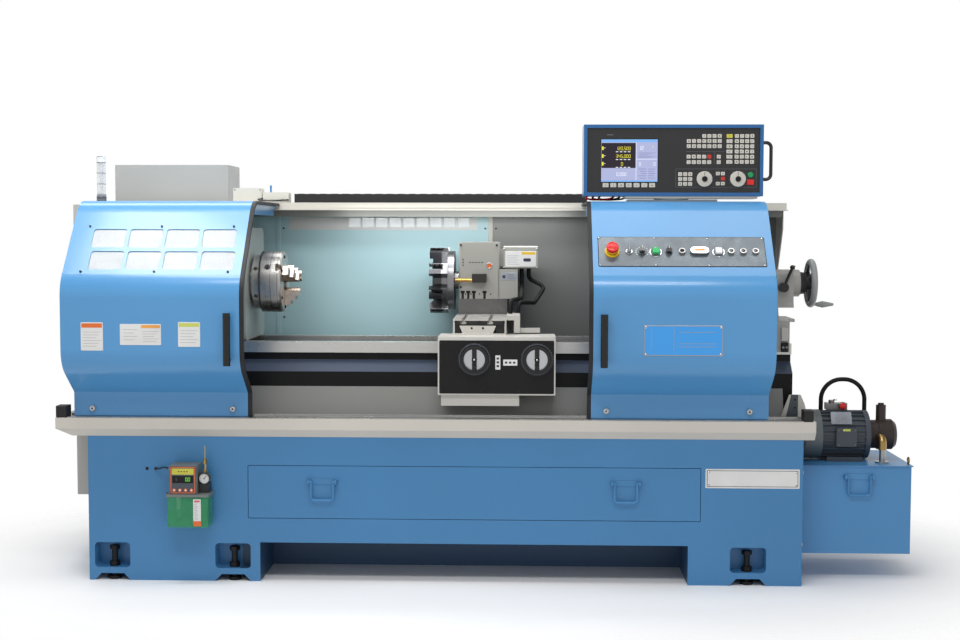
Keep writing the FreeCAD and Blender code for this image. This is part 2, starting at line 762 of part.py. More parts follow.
def drive_belt():
    """The belt loop round the two pulleys, one clearance off their rims."""
    def loop(r_top, r_low, x0, width):
        top = Vector(0, axis_y, axis_z)
        low = Vector(0, motor_shaft_y, motor_shaft_z)
        line = low - top
        lean = math.asin((r_top - r_low) / line.Length)
        run = line.normalize()
        side = Vector(0, run.z, -run.y)
        edges = []
        ends = {}
        for sign in (1, -1):
            out = side * (sign * math.cos(lean)) + run * math.sin(lean)
            ends[sign] = (top + out * r_top, low + out * r_low)
            edges.append(Part.LineSegment(*ends[sign]).toShape())
        edges.append(Part.Arc(ends[1][0], top - run * r_top, ends[-1][0]).toShape())
        edges.append(Part.Arc(ends[1][1], low + run * r_low, ends[-1][1]).toShape())
        wire = Part.Wire(Part.__sortEdges__(edges))
        face = Part.Face(wire)
        face.translate(Vector(x0, 0, 0))
        return face.extrude(Vector(width, 0, 0))
    inside = loop(pulley_r + clear, motor_pulley_r + clear, pulley_x, pulley_w)
    outside = loop(pulley_r + clear + belt_t, motor_pulley_r + clear + belt_t, pulley_x + 3, pulley_w - 6)
    return outside.cut(inside)


def end_cover():
    """The belt guard at the left end, open towards the headstock and the base."""
    def plan(inset, z0, z1):
        open_side = 1 if inset else 0
        corners = [(open_side, cover_y + inset), (-133 + inset, cover_y + inset),
                   (cover_x + inset, axis_y + inset), (cover_x + inset, base_depth - inset),
                   (open_side, base_depth - inset)]
        return outline(corners, [0] * 5, in_xy(z0)).extrude(Vector(0, 0, z1 - z0))
    shell = plan(0, cover_z, cover_top).cut(plan(3, cover_z + 3, cover_top - 3))
    return shell.cut(rod((cover_x - 5, axis_y, axis_z), (1, 0, 0), 90, spindle_bore_r + 10))


# ---- Chuck ----

nose_gap = 7.0


def chuck():
    """The adapter with its cam holes and the chuck body with jaw slots, key sockets and a through bore."""
    start = (nose_x + nose_gap, axis_y, axis_z)
    back = rod(start, (1, 0, 0), chuck_x - nose_x - nose_gap, adapter_r)
    front = Part.makeCylinder(chuck_r, chuck_len, Vector(chuck_x, axis_y, axis_z), Vector(1, 0, 0))
    rims = [e for e in front.Edges if isinstance(e.Curve, Part.Circle)]
    front = front.makeChamfer(6.0, rims)
    body = join([back, front])
    cuts = [rod(start, (1, 0, 0), 300, spindle_bore_r - 2)]
    for i in range(6):
        a = math.radians(60 * i + 30)
        out = (0, math.cos(a), math.sin(a))
        from_axis = (nose_x + 22, axis_y + out[1] * 80, axis_z + out[2] * 80)
        cuts.append(rod(from_axis, out, 60, 9))
    for i in range(3):
        a = math.radians(120 * i + 30)
        out = (0, math.cos(a), math.sin(a))
        cuts.append(rod((chuck_x + 35, axis_y + out[1] * 95, axis_z + out[2] * 95), out, 60, 13))
        cuts.append(jaw_slot(i))
    return body.cut(cuts)


def turned(shape, i):
    """A jaw feature made pointing down, turned to its station about the spindle."""
    copy = shape.copy()
    copy.rotate(Vector(0, axis_y, axis_z), Vector(1, 0, 0), 120 * i)
    return copy


jaw_face = chuck_x + chuck_len
tongue = 22.0
jaw_in = 24.0
jaw_out = 98.0


def jaw_slot(i):
    w = jaw_w / 2 - 8 + clear
    slot = box(jaw_face - tongue - clear, jaw_face + 1, axis_y - w, axis_y + w,
               axis_z - chuck_r - 5, axis_z - jaw_in + 12)
    lips = box(jaw_face - tongue - clear, jaw_face - 10 + clear, axis_y - w - 5, axis_y + w + 5,
               axis_z - chuck_r - 5, axis_z - jaw_in + 12)
    return turned(slot.fuse(lips), i)


def jaw(i):
    """A stepped jaw with a T tongue in the chuck's radial slot."""
    w = jaw_w / 2 - 8
    x = jaw_face + clear
    steps = [(x, axis_z - jaw_out), (x + 26, axis_z - jaw_out), (x + 26, axis_z - 78), (x + 46, axis_z - 78),
             (x + 46, axis_z - 55), (x + 65, axis_z - 55), (x + 65, axis_z - jaw_in), (x, axis_z - jaw_in)]
    top = bar_y(steps, axis_y - jaw_w / 2, axis_y + jaw_w / 2)
    tooth = box(x - tongue, x + 1, axis_y - w, axis_y + w, axis_z - jaw_out, axis_z - jaw_in)
    tee = box(x - tongue, x - 10 - clear, axis_y - w - 5 + clear, axis_y + w + 5 - clear,
              axis_z - jaw_out, axis_z - jaw_in)
    edge = axis_z - jaw_in
    point = bar_x([(axis_y - 60, edge), (axis_y - 60, edge - 60), (axis_y - jaw_w / 2 - 1, edge - 60),
                   (axis_y - 1, edge + 12), (axis_y + 1, edge + 12), (axis_y + jaw_w / 2 + 1, edge - 60),
                   (axis_y + 60, edge - 60), (axis_y + 60, edge + 13), (axis_y - 60, edge + 13)],
                  x - tongue - 1, x + 80)
    point = point.cut(bar_x([(axis_y - jaw_w / 2 - 1, edge - 61), (axis_y - jaw_w / 2 - 1, edge - 12),
                             (axis_y, edge), (axis_y + jaw_w / 2 + 1, edge - 12),
                             (axis_y + jaw_w / 2 + 1, edge - 61)], x - tongue - 2, x + 81))
    return turned(join([top, tooth, tee]).cut(point), i)


# ---- Carriage, cross slide ----

apron_x1 = carriage_x + apron_w
apron_top = apron_z + apron_h
wheel_z = 882.0
wheel_xs = (carriage_x + 145.0, carriage_x + 392.0)
dove_x0 = slide_x + 26.0
dove_x1 = slide_x + slide_w - 42.0


def carriage():
    """Saddle, its dovetail, and the apron with its skirt plate."""
    saddle = box(slide_x - 3, apron_x1 - 196, way_front - 40, way_back + 45, way_z + clear, saddle_top - 6)
    wings = box(carriage_x, apron_x1, apron_y, way_front + way_w, way_z + clear + 2, apron_top)
    apron = box(carriage_x, apron_x1, apron_y, apron_y + 105, apron_z, apron_top)
    apron = apron.cut(box(carriage_x + 10, apron_x1 - 10, apron_y + 12, apron_y + 106, apron_z - 1,
                          apron_top - 12))
    rear_keep = box(slide_x - 3, apron_x1 - 196, way_back + 6, way_back + 45, 900, way_z + 5)
    rear_keep = rear_keep.cut(box(slide_x - 10, apron_x1, way_back - 1, way_back + 6 + clear, 800, way_z + 1))
    skirt = box(carriage_x + 12, carriage_x + 322, apron_y + 12, apron_y + 12 + sheet,
                apron_z - 44, apron_z + 20)
    top = box(slide_x - 3, slide_x + slide_w, way_front - 40, way_back + 45, saddle_top - 7, saddle_top)
    low = saddle_top
    high = slide_top - 26
    dove = bar_y([(dove_x0 + 13, low - 1), (dove_x1 - 13, low - 1), (dove_x1, high), (dove_x0, high)],
                 slide_front, way_back + 40)
    body = join([saddle, wings, apron, rear_keep, top, dove])
    holes = [rod((x, apron_y - 1, wheel_z), (0, 1, 0), 40, 9 + fit) for x in wheel_xs]
    return [body.cut(holes), skirt]


def handwheel(x):
    """A dished wheel on a short shaft, with a cross bar and a small grip."""
    y = apron_y
    rim = tube((x, y - 26, wheel_z), (0, 1, 0), 22, wheel_r, wheel_r - 13)
    dish = rod((x, y - 8, wheel_z), (0, 1, 0), 6, wheel_r - 12)
    bar = box(x - 9, x + 9, y - 24, y - 7, wheel_z - wheel_r + 8, wheel_z + wheel_r - 8)
    shaft = rod((x, y - 8, wheel_z), (0, 1, 0), 40, 9)
    hub = rod((x, y - 4, wheel_z), (0, 1, 0), 3.7, 20)
    grip = rod((x, y - 50, wheel_z - 30), (0, 1, 0), 30, 8)
    return join([rim, dish, bar, shaft, hub, grip])


def cross_slide():
    """The slide with its skirts, dovetail cut and T slots, and the hose bracket at its side."""
    x0, x1 = slide_x, slide_x + slide_w
    body = box(x0, x1, slide_front, slide_back, saddle_top + clear, slide_top)
    low = saddle_top
    high = slide_top - 26
    side = clear + 0.2
    female = bar_y([(dove_x0 + 3, low - 1), (dove_x1 - 3, low - 1), (dove_x1 + side, high + clear),
                    (dove_x0 - side, high + clear)], slide_front - 1, slide_back + 1)
    cuts = [female, box(x0 + 8, x1 - 8, slide_front - 1, slide_front + 10, low - 1, slide_top - 22)]
    for x in (x0 + 42, x1 - 66):
        cuts.append(box(x - 7, x + 7, slide_front - 1, turret_y + 40, slide_top - 20, slide_top + 1))
        cuts.append(box(x - 12, x + 12, slide_front - 1, turret_y + 40, slide_top - 20, slide_top - 11))
    body = body.cut(cuts)
    bracket = rounded_box(x1, x1 + 55, slide_front + 20, slide_front + 210,
                          saddle_top + 1, slide_top + 15, 4.0)
    bracket = bracket.cut(box(x1 - 1, x1 + 30, slide_front - 1, slide_front + 190, saddle_top, slide_top - 5))
    rail = box(x1 + 54, x1 + 136, slide_front + 32, slide_front + 54, saddle_top + 1, saddle_top + 20)
    return join([body, bracket, rail])


# ---- Turret ----

hub_r = 40.0


def turret_housing():
    """Riser, gear housing, motor cover, side box and coolant nozzle on its block."""
    x0, x1 = turret_x, turret_x + turret_w
    y0, y1 = turret_y, turret_y + turret_deep
    riser = box(x0 - 2, x1 + 33, y0 + 40, y1, slide_top, turret_z)
    house = rounded_box(x0, x1, y0, y1, turret_z, turret_top, 10.0, "z")
    side = box(x1 - 1, x1 + 78, y0, y1 - 20, turret_z, turret_z + 127)
    cover = rounded_box(x1 + 17, x1 + 164, y0 + 10, y1 - 30, turret_z + 130, turret_top - 17, 6.0, "x")
    neck = box(x1 - 1, x1 + 18, y0 + 30, y1 - 50, turret_z + 140, turret_top - 30)
    slot_xs = (x0 + 18, x0 + 42, x0 + 66, x0 + 112)
    slots = [box(x - 5, x + 5, y0 - 1, y0 + 14, turret_z - 1, turret_z + 34) for x in slot_xs]
    body = join([riser, house, side, cover, neck]).cut(slots)
    bore = rod((x0 - 5, disc_y, disc_z), (1, 0, 0), 65, hub_r + fit)
    bolts = [rod((x, y0 + 7, turret_z + 2), (0, 0, 1), 30, 4.5) for x in slot_xs]
    block = box(x0 + 59, x0 + 120, y0 - 30, y0, disc_z - 6, disc_z + 31)
    nozzle = rod((x0 - 14, y0 - 15, disc_z + 3), (1, 0, 0), 73, 7.5)
    return [body.cut(bore), join([block, nozzle])] + bolts


def turret_disc():
    """The indexing disc with eight tool blocks and their clamped square tools."""
    plate_x = disc_x
    hub = rod((plate_x, disc_y, disc_z), (1, 0, 0), turret_x + 55 - plate_x, hub_r)
    parts = [rod((plate_x, disc_y, disc_z), (1, 0, 0), disc_t, disc_r),
             rod((plate_x - 66, disc_y, disc_z), (1, 0, 0), 67, 94), hub]
    for i in range(8):
        block = box(plate_x - holder_len, plate_x + 1, disc_y - 24, disc_y + 24,
                    disc_z + 85, disc_z + holder_r)
        slot = box(plate_x - holder_len - 1, plate_x - 20, disc_y - 6, disc_y + 19, disc_z + 112,
                   disc_z + holder_r + 1)
        short = box(plate_x - holder_len - 1, plate_x - holder_len + 14, disc_y - 25, disc_y + 25,
                    disc_z + 84, disc_z + 112)
        piece = block.cut([slot, short])
        piece.rotate(Vector(0, disc_y, disc_z), Vector(1, 0, 0), 45 * i + 22.5)
        parts.append(piece)
    return join(parts)


def turret_hoses():
    """Three hoses from the motor cover and side box down to the bracket on the slide."""
    x1 = turret_x + turret_w
    bracket_x = slide_x + slide_w + 28
    top = slide_top + 15
    hose = 9.0
    big = pipe([(x1 + 125, turret_y + 80, turret_z + 130), (x1 + 125, turret_y + 80, turret_z + 85),
                (x1 + 195, turret_y + 50, turret_z + 50), (x1 + 150, turret_y - 20, turret_z - 15),
                (bracket_x + 18, slide_front + 200, top + 45), (bracket_x + 18, slide_front + 200, top)],
               hose, 28.0)
    inner = pipe([(x1 + 95, turret_y + 60, turret_z + 130), (x1 + 95, turret_y + 60, turret_z + 70),
                  (x1 + 95, turret_y - 60, turret_z + 6), (bracket_x - 14, slide_front + 145, top + 55),
                  (bracket_x - 14, slide_front + 145, top)], hose, 28.0)
    return [big, inner]


# ---- Tailstock ----

tail_wheel_x = base_len + 62.0
lock_x = base_len - 30.0


def tailstock():
    """Base on the ways, body with the quill bore, and the drum bearing of the handwheel."""
    x0, x1 = tail_x, tail_x + tail_len
    sole_end = x1 - 40
    sole = box(x0, sole_end, way_front - 20, way_back + 20, way_z + clear, 1032)
    guide = box(x0, sole_end, way_front - 20, way_front - 1, 905, way_z + 2)
    guide = guide.cut(box(x0 - 1, x1, way_front - 1 - clear, way_back, 800, way_z + clear))
    body = bar_x([(axis_y - 110, 1020), (axis_y - 75, 1100), (axis_y - 75, 1231), (axis_y + 75, 1231),
                  (axis_y + 75, 1100), (axis_y + 110, 1020)], x0 + 20, x1, [0, 0, 25, 25, 0, 0])
    body = body.cut(box(x1 - 64, x1 + 1, way_front, way_back, 1032, axis_z - 98))
    drum = rod((x1 - 1, axis_y, axis_z), (1, 0, 0), 34, 56)
    cup = rod((base_len + 26, axis_y, axis_z + 50), (0, 0, 1), 22, 5)
    full = join([sole, guide, body, drum, cup])
    bore = rod((x0 - 1, axis_y, axis_z), (1, 0, 0), tail_len - 40, quill_r + fit)
    shaft = rod((x1 - 60, axis_y, axis_z), (1, 0, 0), 100, 14 + fit)
    lock = rod((lock_x, axis_y - 80, axis_z - 15), (0, 1, 0), 20, 9 + fit)
    return full.cut([bore, shaft, lock])


quill_out = 70.0


def quill():
    """The quill with a tapered socket in its nose, and the centre held in it."""
    start = tail_x - quill_out + 20
    length = tail_len - 80
    body = rod((start, axis_y, axis_z), (1, 0, 0), length, quill_r)
    body = body.cut(rod((start + length - 120, axis_y, axis_z), (1, 0, 0), 121, 18))
    point = join([cone((start - 45, axis_y, axis_z), (1, 0, 0), 35, 0.6, 20),
                  rod((start - 10, axis_y, axis_z), (1, 0, 0), 10, 20)])
    return [body, point]


def tail_handwheel():
    """Rim, three spokes, hub with graduated dial, and the crank grip."""
    x = tail_wheel_x
    hub_x = tail_x + tail_len + 33 + clear
    rim = Part.makeTorus(tail_wheel_r - 13, 13, Vector(x + 35, axis_y, axis_z), Vector(1, 0, 0))
    dial = cone((hub_x, axis_y, axis_z), (1, 0, 0), 24, 48, 44)
    hub = rod((hub_x, axis_y, axis_z), (1, 0, 0), x + 45 - hub_x, 26)
    shaft = rod((tail_x + tail_len - 50, axis_y, axis_z), (1, 0, 0), 100, 14)
    spokes = []
    for i in range(3):
        spoke = box(x + 24, x + 42, axis_y - 9, axis_y + 9, axis_z + 15, axis_z + tail_wheel_r - 10)
        spoke.rotate(Vector(0, axis_y, axis_z), Vector(1, 0, 0), 120 * i + 180)
        spokes.append(spoke)
    low = axis_z - tail_wheel_r + 13
    stem = rod((x + 35, axis_y, low), (1, 0, 0), 35, 6)
    grip = join([cone((x + 60, axis_y, low), (1, 0, 0), 25, 8, 14),
                 cone((x + 85, axis_y, low), (1, 0, 0), 45, 14, 5)])
    return join([rim, dial, hub, shaft] + spokes + [stem, grip])


def lock_lever():
    """The quill clamp: hub, slanted lever and ball end."""
    y = axis_y - 75
    z = axis_z - 15
    hub = rod((lock_x, y - 26, z), (0, 1, 0), 26 - clear, 20)
    shaft = rod((lock_x, y - 20, z), (0, 1, 0), 33, 9)
    arm = rod((lock_x, y - 18, z), (0.42, 0, 1), 85, 6)
    ball = Part.makeSphere(10, Vector(lock_x + 34, y - 18, z + 82))
    return join([hub, shaft, arm, ball])


# ---- Rear guard, beam, ducts, cabinet, lamp ----

guard_window_x = 935.0


def rear_guard():
    """The rear sheet with its row of windows, and the gusset at the right end."""
    right = tray_right - 11
    panel = box(0, right, guard_y, guard_y + 3, tray_top, beam_top - sheet)
    window_xs = [guard_window_x + i * 61 for i in range(9)]
    windows = [box(x, x + 52, guard_y - 1, guard_y + 4, 1406, 1446) for x in window_xs]
    front = guard_y - 40
    gusset = bar_x([(beam_y + 8, beam_z), (beam_y + 8, 1400), (front, 1225), (front, tray_top),
                    (guard_y, tray_top), (guard_y, beam_z)], right, right + sheet)
    corner = box(right - 1, right + sheet, guard_y - 10, guard_y + 3, tray_top, beam_z)
    return join([panel.cut(windows), gusset, corner])


def rear_windows():
    return box(guard_window_x - 10, guard_window_x + 9 * 61, guard_y + 3, guard_y + 6, 1396, 1449)


def upper_beam():
    x1 = tray_right + 4
    back_y = guard_y + 3 + sheet
    ledge = box(0, x1, beam_y - 42, beam_y + sheet, beam_z, beam_z + sheet)
    fascia = box(0, x1, beam_y, beam_y + sheet, beam_z, beam_top)
    top = box(0, x1, beam_y, back_y, beam_top - sheet, beam_top)
    back = box(0, x1, guard_y + 3, back_y, 1450, beam_top)
    end = box(x1 - sheet, x1, beam_y, back_y, beam_z, beam_top)
    return join([ledge, fascia, top, back, end])


def cable_ducts():
    """The long cable duct on the beam and two junction boxes beside it."""
    duct = box(702, 2000, guard_y - 80, guard_y - 2, beam_top, beam_top + 40)
    duct = duct.cut(box(701, 2001, guard_y - 78, guard_y - 4, beam_top + 2, beam_top + 38))
    tall = rounded_box(424, 553, guard_y - 60, guard_y - 2, beam_top, beam_top + 66, 4.0)
    low = rounded_box(558, 675, guard_y - 70, guard_y - 2, beam_top, beam_top + 47, 4.0)
    return [duct, tall, low]


hinge_x = cabinet_x + cabinet_w + 6
hinge_y = cabinet_y + cabinet_deep + 12
hinge_zs = (cabinet_z + 140, cabinet_top - 190)


def cabinet_body():
    """The electrical cabinet, open at the rear, on brackets from the rear guard, with its mounting plate."""
    x0, x1 = cabinet_x, cabinet_x + cabinet_w
    y0, y1 = cabinet_y, cabinet_y + cabinet_deep
    shell = box(x0, x1, y0, y1, cabinet_z, cabinet_top)
    shell = shell.cut(box(x0 + thin, x1 - thin, y0 + thin, y1 + 1, cabinet_z + thin, cabinet_top - thin))
    bracket_zs = (cabinet_z + 180, cabinet_top - 300)
    brackets = [box(40, x1 - 40, guard_y + 3, y0 + 1, z, z + 50) for z in bracket_zs]
    inner = [box(x0 + 40, x1 - 40, y0 + thin, y0 + 12, cabinet_z + 60, cabinet_top - 60),
             box(x0 + 70, x0 + 220, y0 + 10, y0 + 150, cabinet_top - 460, cabinet_top - 120),
             box(x0 + 250, x1 - 70, y0 + 10, y0 + 130, cabinet_top - 460, cabinet_top - 120),
             box(x0 + 70, x1 - 70, y0 + 10, y0 + 90, cabinet_z + 140, cabinet_z + 330)]
    knuckles = []
    for z in hinge_zs:
        knuckles.append(rod((hinge_x, hinge_y, z - 40 - clear), (0, 0, 1), 40, 6))
        knuckles.append(rod((hinge_x, hinge_y, z - 1), (0, 0, 1), 40, 2.5))
        knuckles.append(box(x1 - 1, x1 + 3, y1 - 20, hinge_y, z - 40 - clear, z - clear))
    return join([shell] + brackets + inner + knuckles)


def cabinet_door():
    x0, x1 = cabinet_x, cabinet_x + cabinet_w
    y = cabinet_y + cabinet_deep + clear
    pan = box(x0 + 2, x1 - 2, y, y + 18, cabinet_z + 2, cabinet_top - 2)
    pan = pan.cut(box(x0 + 5, x1 - 5, y - 1, y + 15, cabinet_z + 5, cabinet_top - 5))
    knuckles = []
    for z in hinge_zs:
        knuckles.append(rod((hinge_x, hinge_y, z), (0, 0, 1), 40, 6))
        knuckles.append(box(x1 - 6, hinge_x, hinge_y + 1, hinge_y + 5, z, z + 40))
    pins = [rod((hinge_x, hinge_y, z - 2), (0, 0, 1), 44, 2.5 + fit) for z in hinge_zs]
    boss = join([rod((x0 + 50, y + 17, (cabinet_z + cabinet_top) / 2), (0, 1, 0), 10, 16),
                 box(x0 + 44, x0 + 56, y + 20, y + 34, (cabinet_z + cabinet_top) / 2 - 50,
                     (cabinet_z + cabinet_top) / 2 + 16)])
    return join([pan, boss] + knuckles).cut(pins)


def tower_lamp():
    x, y = cover_x + 24, base_depth - 78
    base = rod((x, y, cover_top), (0, 0, 1), 50, 21)
    glass = rod((x, y, cover_top + 50), (0, 0, 1), 145, 19)
    cap = rod((x, y, cover_top + 195), (0, 0, 1), 22, 20)
    return [base, glass, cap]


# ---- Coolant tank, pump, lubricator ----

def coolant_tank():
    """The open tank bolted to the base's right end, and its lid."""
    x0, x1 = base_len, base_len + tank_w
    y0, y1 = tank_y, tank_y + tank_deep
    shell = box(x0, x1, y0, y1, tank_z, lid_z)
    shell = shell.cut(box(x0 + 3, x1 - 3, y0 + 3, y1 - 3, tank_z + 3, lid_z + 1))
    tank = join([shell, bail_ears(tank_bail_x, tank_y, tank_pivot)])
    lid = box(x0 + 1, x1 + 6, y0 - 6, y1 + 6, lid_z, lid_z + lid_t)
    return [tank, lid]


fan_len = 70.0
shield_len = 20.0
motor_x = base_len + 48.0
pump_x = motor_x + fan_len + motor_core + shield_len - 3


def pump_motor():
    """A finned electric motor on feet, with a fan cover and a terminal box, and the valve on top."""
    x0 = motor_x
    start = (x0, motor_y, motor_z)
    core_x = x0 + fan_len - 1
    end_x = core_x + motor_core
    cover = rod(start, (1, 0, 0), fan_len, motor_r)
    core = rod((core_x, motor_y, motor_z), (1, 0, 0), motor_core, motor_r - 10)
    shield = rod((end_x - 1, motor_y, motor_z), (1, 0, 0), shield_len, motor_r - 2)
    fins = []
    for i in range(24):
        fin = box(core_x, end_x, motor_y - 2, motor_y + 2, motor_z + motor_r - 16, motor_z + motor_r - 2)
        fin.rotate(Vector(0, motor_y, motor_z), Vector(1, 0, 0), 15 * i)
        fins.append(fin)
    box_y = motor_y - motor_r - 8
    terminals = rounded_box(x0 + 121, x0 + 203, box_y, motor_y - 50, motor_z - 38, motor_z + 38, 5.0)
    feet = box(core_x + 20, end_x - 10, motor_y - 80, motor_y + 80, lid_z + lid_t, motor_z - motor_r + 16)
    feet = feet.cut(rod((x0, motor_y, motor_z), (1, 0, 0), 320, motor_r - 12))
    body = join([cover, core, shield, terminals, feet] + fins)
    fin_lean = math.radians(15)
    block_z = motor_z + (motor_r - 2) * math.cos(fin_lean) + 1.067
    valve = join([box(x0 + 105, x0 + 190, motor_y + 15, motor_y + 60, block_z, block_z + 28),
                  rod((x0 + 168, motor_y + 20, block_z + 20), (0, -1, 0), 25, 14),
                  rod((x0 + 130, motor_y + 38, block_z + 27), (0, 0, 1), 12, 12)])
    return [body, valve]


def hydraulic_pump():
    """The vane pump with its rear ring, relief cylinder, elbow and suction pipe."""
    x0 = pump_x + 1
    bell = rod((x0, motor_y, motor_z), (1, 0, 0), 45, 58)
    ring_end = x0 + 101
    ring = rod((x0 + 44, motor_y, motor_z), (1, 0, 0), ring_end - x0 - 44, 62)
    nose = cone((ring_end, motor_y, motor_z), (1, 0, 0), 14, 62, 50)
    relief_x = x0 + 60
    relief_top = motor_z + 120
    relief = rod((relief_x, motor_y, motor_z + 40), (0, 0, 1), relief_top - motor_z - 40, 20)
    knob = rod((relief_x, motor_y, relief_top - 1), (0, 0, 1), 9, 12)
    pipe_y = motor_y - 95
    pump = join([bell, ring, nose, relief, knob])
    elbow = pipe([(x0 + 45, motor_y - 50, motor_z - 5), (x0 + 45, pipe_y, motor_z - 5),
                  (x0 + 45, pipe_y, motor_z - 50)], 17.0, 24.0)
    low = lid_z + lid_t
    riser = rod((x0 + 45, pipe_y, low), (0, 0, 1), motor_z - 50 - low, 12)
    flange = rod((x0 + 45, pipe_y, low), (0, 0, 1), 5, 28)
    return [pump.cut(elbow), join([elbow, riser, flange])]


def pump_hose():
    """The pressure hose, an arch from the tank lid over the motor to the pump."""
    y = motor_y + motor_r + 12
    x0 = base_len + 150
    x1 = x0 + 180
    top = 774.0
    low = lid_z + lid_t
    r = 9.0
    return pipe([(x0, y, low), (x0, y, top), (x1, y, top), (x1, y, low)], r, 85.0)


lube_x = 320.0


def lube_pump():
    """The lubricator's head with its cover plate, side pump block and pressure gauge."""
    x = lube_x
    head = box(x + 27, x + 133, -62, 0, 362, 475)
    lid = rounded_box(x + 12, x + 182, -98, -2, 352, 362, 6.0, "z")
    block = box(x + 134, x + 172, -58, -2, 362, 400)
    gauge = rod((x + 157, -60, 420), (0, 1, 0), 24, 23)
    stalk = rod((x + 157, -45, 398), (0, 0, 1), 78, 6)
    line = rod((x + 157, -45, 476), (0, 0, 1), 70, 2.5)
    head_front = box(x + 27, x + 133, -92, -61, 362, 475)
    bracket = box(x + 20, x + 170, -3, 0, 340, 380)
    return join([head, lid, block, gauge, stalk, line, head_front, bracket])


def lube_reservoir():
    x = lube_x
    jar = rounded_box(x + 16, x + 178, -94, -8, 232, 352, 8.0, "z")
    return jar.cut(rounded_box(x + 19, x + 175, -91, -11, 235, 353, 6.0, "z"))


# ---- All the pieces ----

def pieces():
    right_handle = right_door_x + 56
    return {
        "base_cabinet": base_cabinet(),
        "levelling_screws": levelling_screws(),
        "chip_drawer": chip_drawer(),
        "drawer_bail_left": bail(drawer_bails[0], 0, drawer_pivot),
        "drawer_bail_right": bail(drawer_bails[1], 0, drawer_pivot),
        "chip_tray": chip_tray(),
        "door_rail": door_rail(),
        "left_door": left_door(),
        "left_door_windows": left_door_windows(),
        "left_door_trim": door_trim(door_left_x, True, door_left_x + door_w - 58),
        "left_door_rollers": door_rollers(door_left_x),
        "right_door": right_door(),
        "right_door_trim": door_trim(right_door_x, False, right_handle),
        "right_door_rollers": door_rollers(right_door_x),
        "control_panel": control_panel(),
        "emergency_button": emergency_button(),
        "green_button": square_button("green"),
        "white_button": square_button("white"),
        "rate_knob": turning_knob("rate", 11.0, 14.0),
        "selector_knob": turning_knob("selector", 12.0, 10.0),
        "hmi_turntable": hmi_turntable(),
        "hmi_case": [hmi_case(), hmi_handle()],
        "override_knob_left": override_knob(knob_xs[0]),
        "override_knob_right": override_knob(knob_xs[1]),
        "bed": bed(),
        "headstock": headstock(),
        "spindle": spindle(),
        "motor_pulley": motor_pulley(),
        "main_motor": main_motor(),
        "drive_belt": drive_belt(),
        "end_cover": end_cover(),
        "chuck": chuck(),
        "jaw_1": jaw(0),
        "jaw_2": jaw(1),
        "jaw_3": jaw(2),
        "carriage": carriage(),
        "longitudinal_handwheel": handwheel(wheel_xs[0]),
        "cross_handwheel": handwheel(wheel_xs[1]),
        "cross_slide": cross_slide(),
        "turret_housing": turret_housing(),
        "turret_disc": turret_disc(),
        "turret_hoses": turret_hoses(),
        "tailstock": tailstock(),
        "quill": quill(),
        "tail_handwheel": tail_handwheel(),
        "lock_lever": lock_lever(),
        "rear_guard": rear_guard(),
        "rear_windows": rear_windows(),
        "upper_beam": upper_beam(),
        "cable_ducts": cable_ducts(),
        "cabinet_body": cabinet_body(),
        "cabinet_door": cabinet_door(),
        "tower_lamp": tower_lamp(),
        "coolant_tank": coolant_tank(),
        "tank_bail": bail(tank_bail_x, tank_y, tank_pivot),
        "pump_motor": pump_motor(),
        "hydraulic_pump": hydraulic_pump(),
        "pump_hose": pump_hose(),
        "lube_pump": lube_pump(),
        "lube_reservoir": lube_reservoir(),
    }


def solid_of(shape):
    """One compound of clean solids from a shape or a list of shapes."""
    group = shape if isinstance(shape, list) else [shape]
    solids = [s for one in group for s in one.Solids]
    return solids[0] if len(solids) == 1 else Part.makeCompound(solids)


nodes = {name: solid_of(shape) for name, shape in pieces().items()}
whole = Part.makeCompound(list(nodes.values())).optimalBoundingBox(False, False)
centre_x = (whole.XMin + whole.XMax) / 2
centre_y = (whole.YMin + whole.YMax) / 2
os.makedirs("parts", exist_ok=True)
for name, shape in nodes.items():
    shape.translate(Vector(-centre_x, -centre_y, -whole.ZMin))
    shape.exportStep("parts/" + name + ".step")
print(len(nodes), "nodes; size", round(whole.XLength, 1), round(whole.YLength, 1), round(whole.ZLength, 1))
print("centre", round(centre_x, 2), round(centre_y, 2), "low", round(whole.ZMin, 3))
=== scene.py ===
import math
import bmesh
import bpy
from mathutils import Matrix, Vector


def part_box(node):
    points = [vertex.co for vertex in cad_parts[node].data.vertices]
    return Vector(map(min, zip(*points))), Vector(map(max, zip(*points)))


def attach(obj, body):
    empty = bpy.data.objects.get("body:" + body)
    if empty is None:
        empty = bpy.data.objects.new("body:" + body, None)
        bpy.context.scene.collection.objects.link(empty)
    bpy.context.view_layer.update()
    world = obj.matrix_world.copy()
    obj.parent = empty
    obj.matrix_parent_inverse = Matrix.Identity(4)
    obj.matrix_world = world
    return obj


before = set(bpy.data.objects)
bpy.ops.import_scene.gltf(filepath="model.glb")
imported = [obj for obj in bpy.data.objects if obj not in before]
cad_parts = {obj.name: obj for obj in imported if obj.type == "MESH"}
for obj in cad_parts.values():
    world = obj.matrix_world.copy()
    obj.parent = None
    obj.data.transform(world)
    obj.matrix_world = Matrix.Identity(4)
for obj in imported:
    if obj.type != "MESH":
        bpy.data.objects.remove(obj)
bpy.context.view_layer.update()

# Flat-bed turning lathe. Lengths below are millimetres in the machine's working frame, whose origin is
# the base cabinet's lowest front left corner: X along the bed, Y to the rear, Z up.
MM = 0.001
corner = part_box("base_cabinet")[0]
X, Y, Z = Vector((1, 0, 0)), Vector((0, 1, 0)), Vector((0, 0, 1))


def place(x, y, z):
    """A point of the working frame, in metres in the shared frame."""
    return corner + Vector((x, y, z)) * MM


def span(node):
    """A node's lowest and highest corners in the working frame."""
    low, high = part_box(node)
    return (low - corner) / MM, (high - corner) / MM


# ---- Sizes read from the frame, and the few that several parts share ----

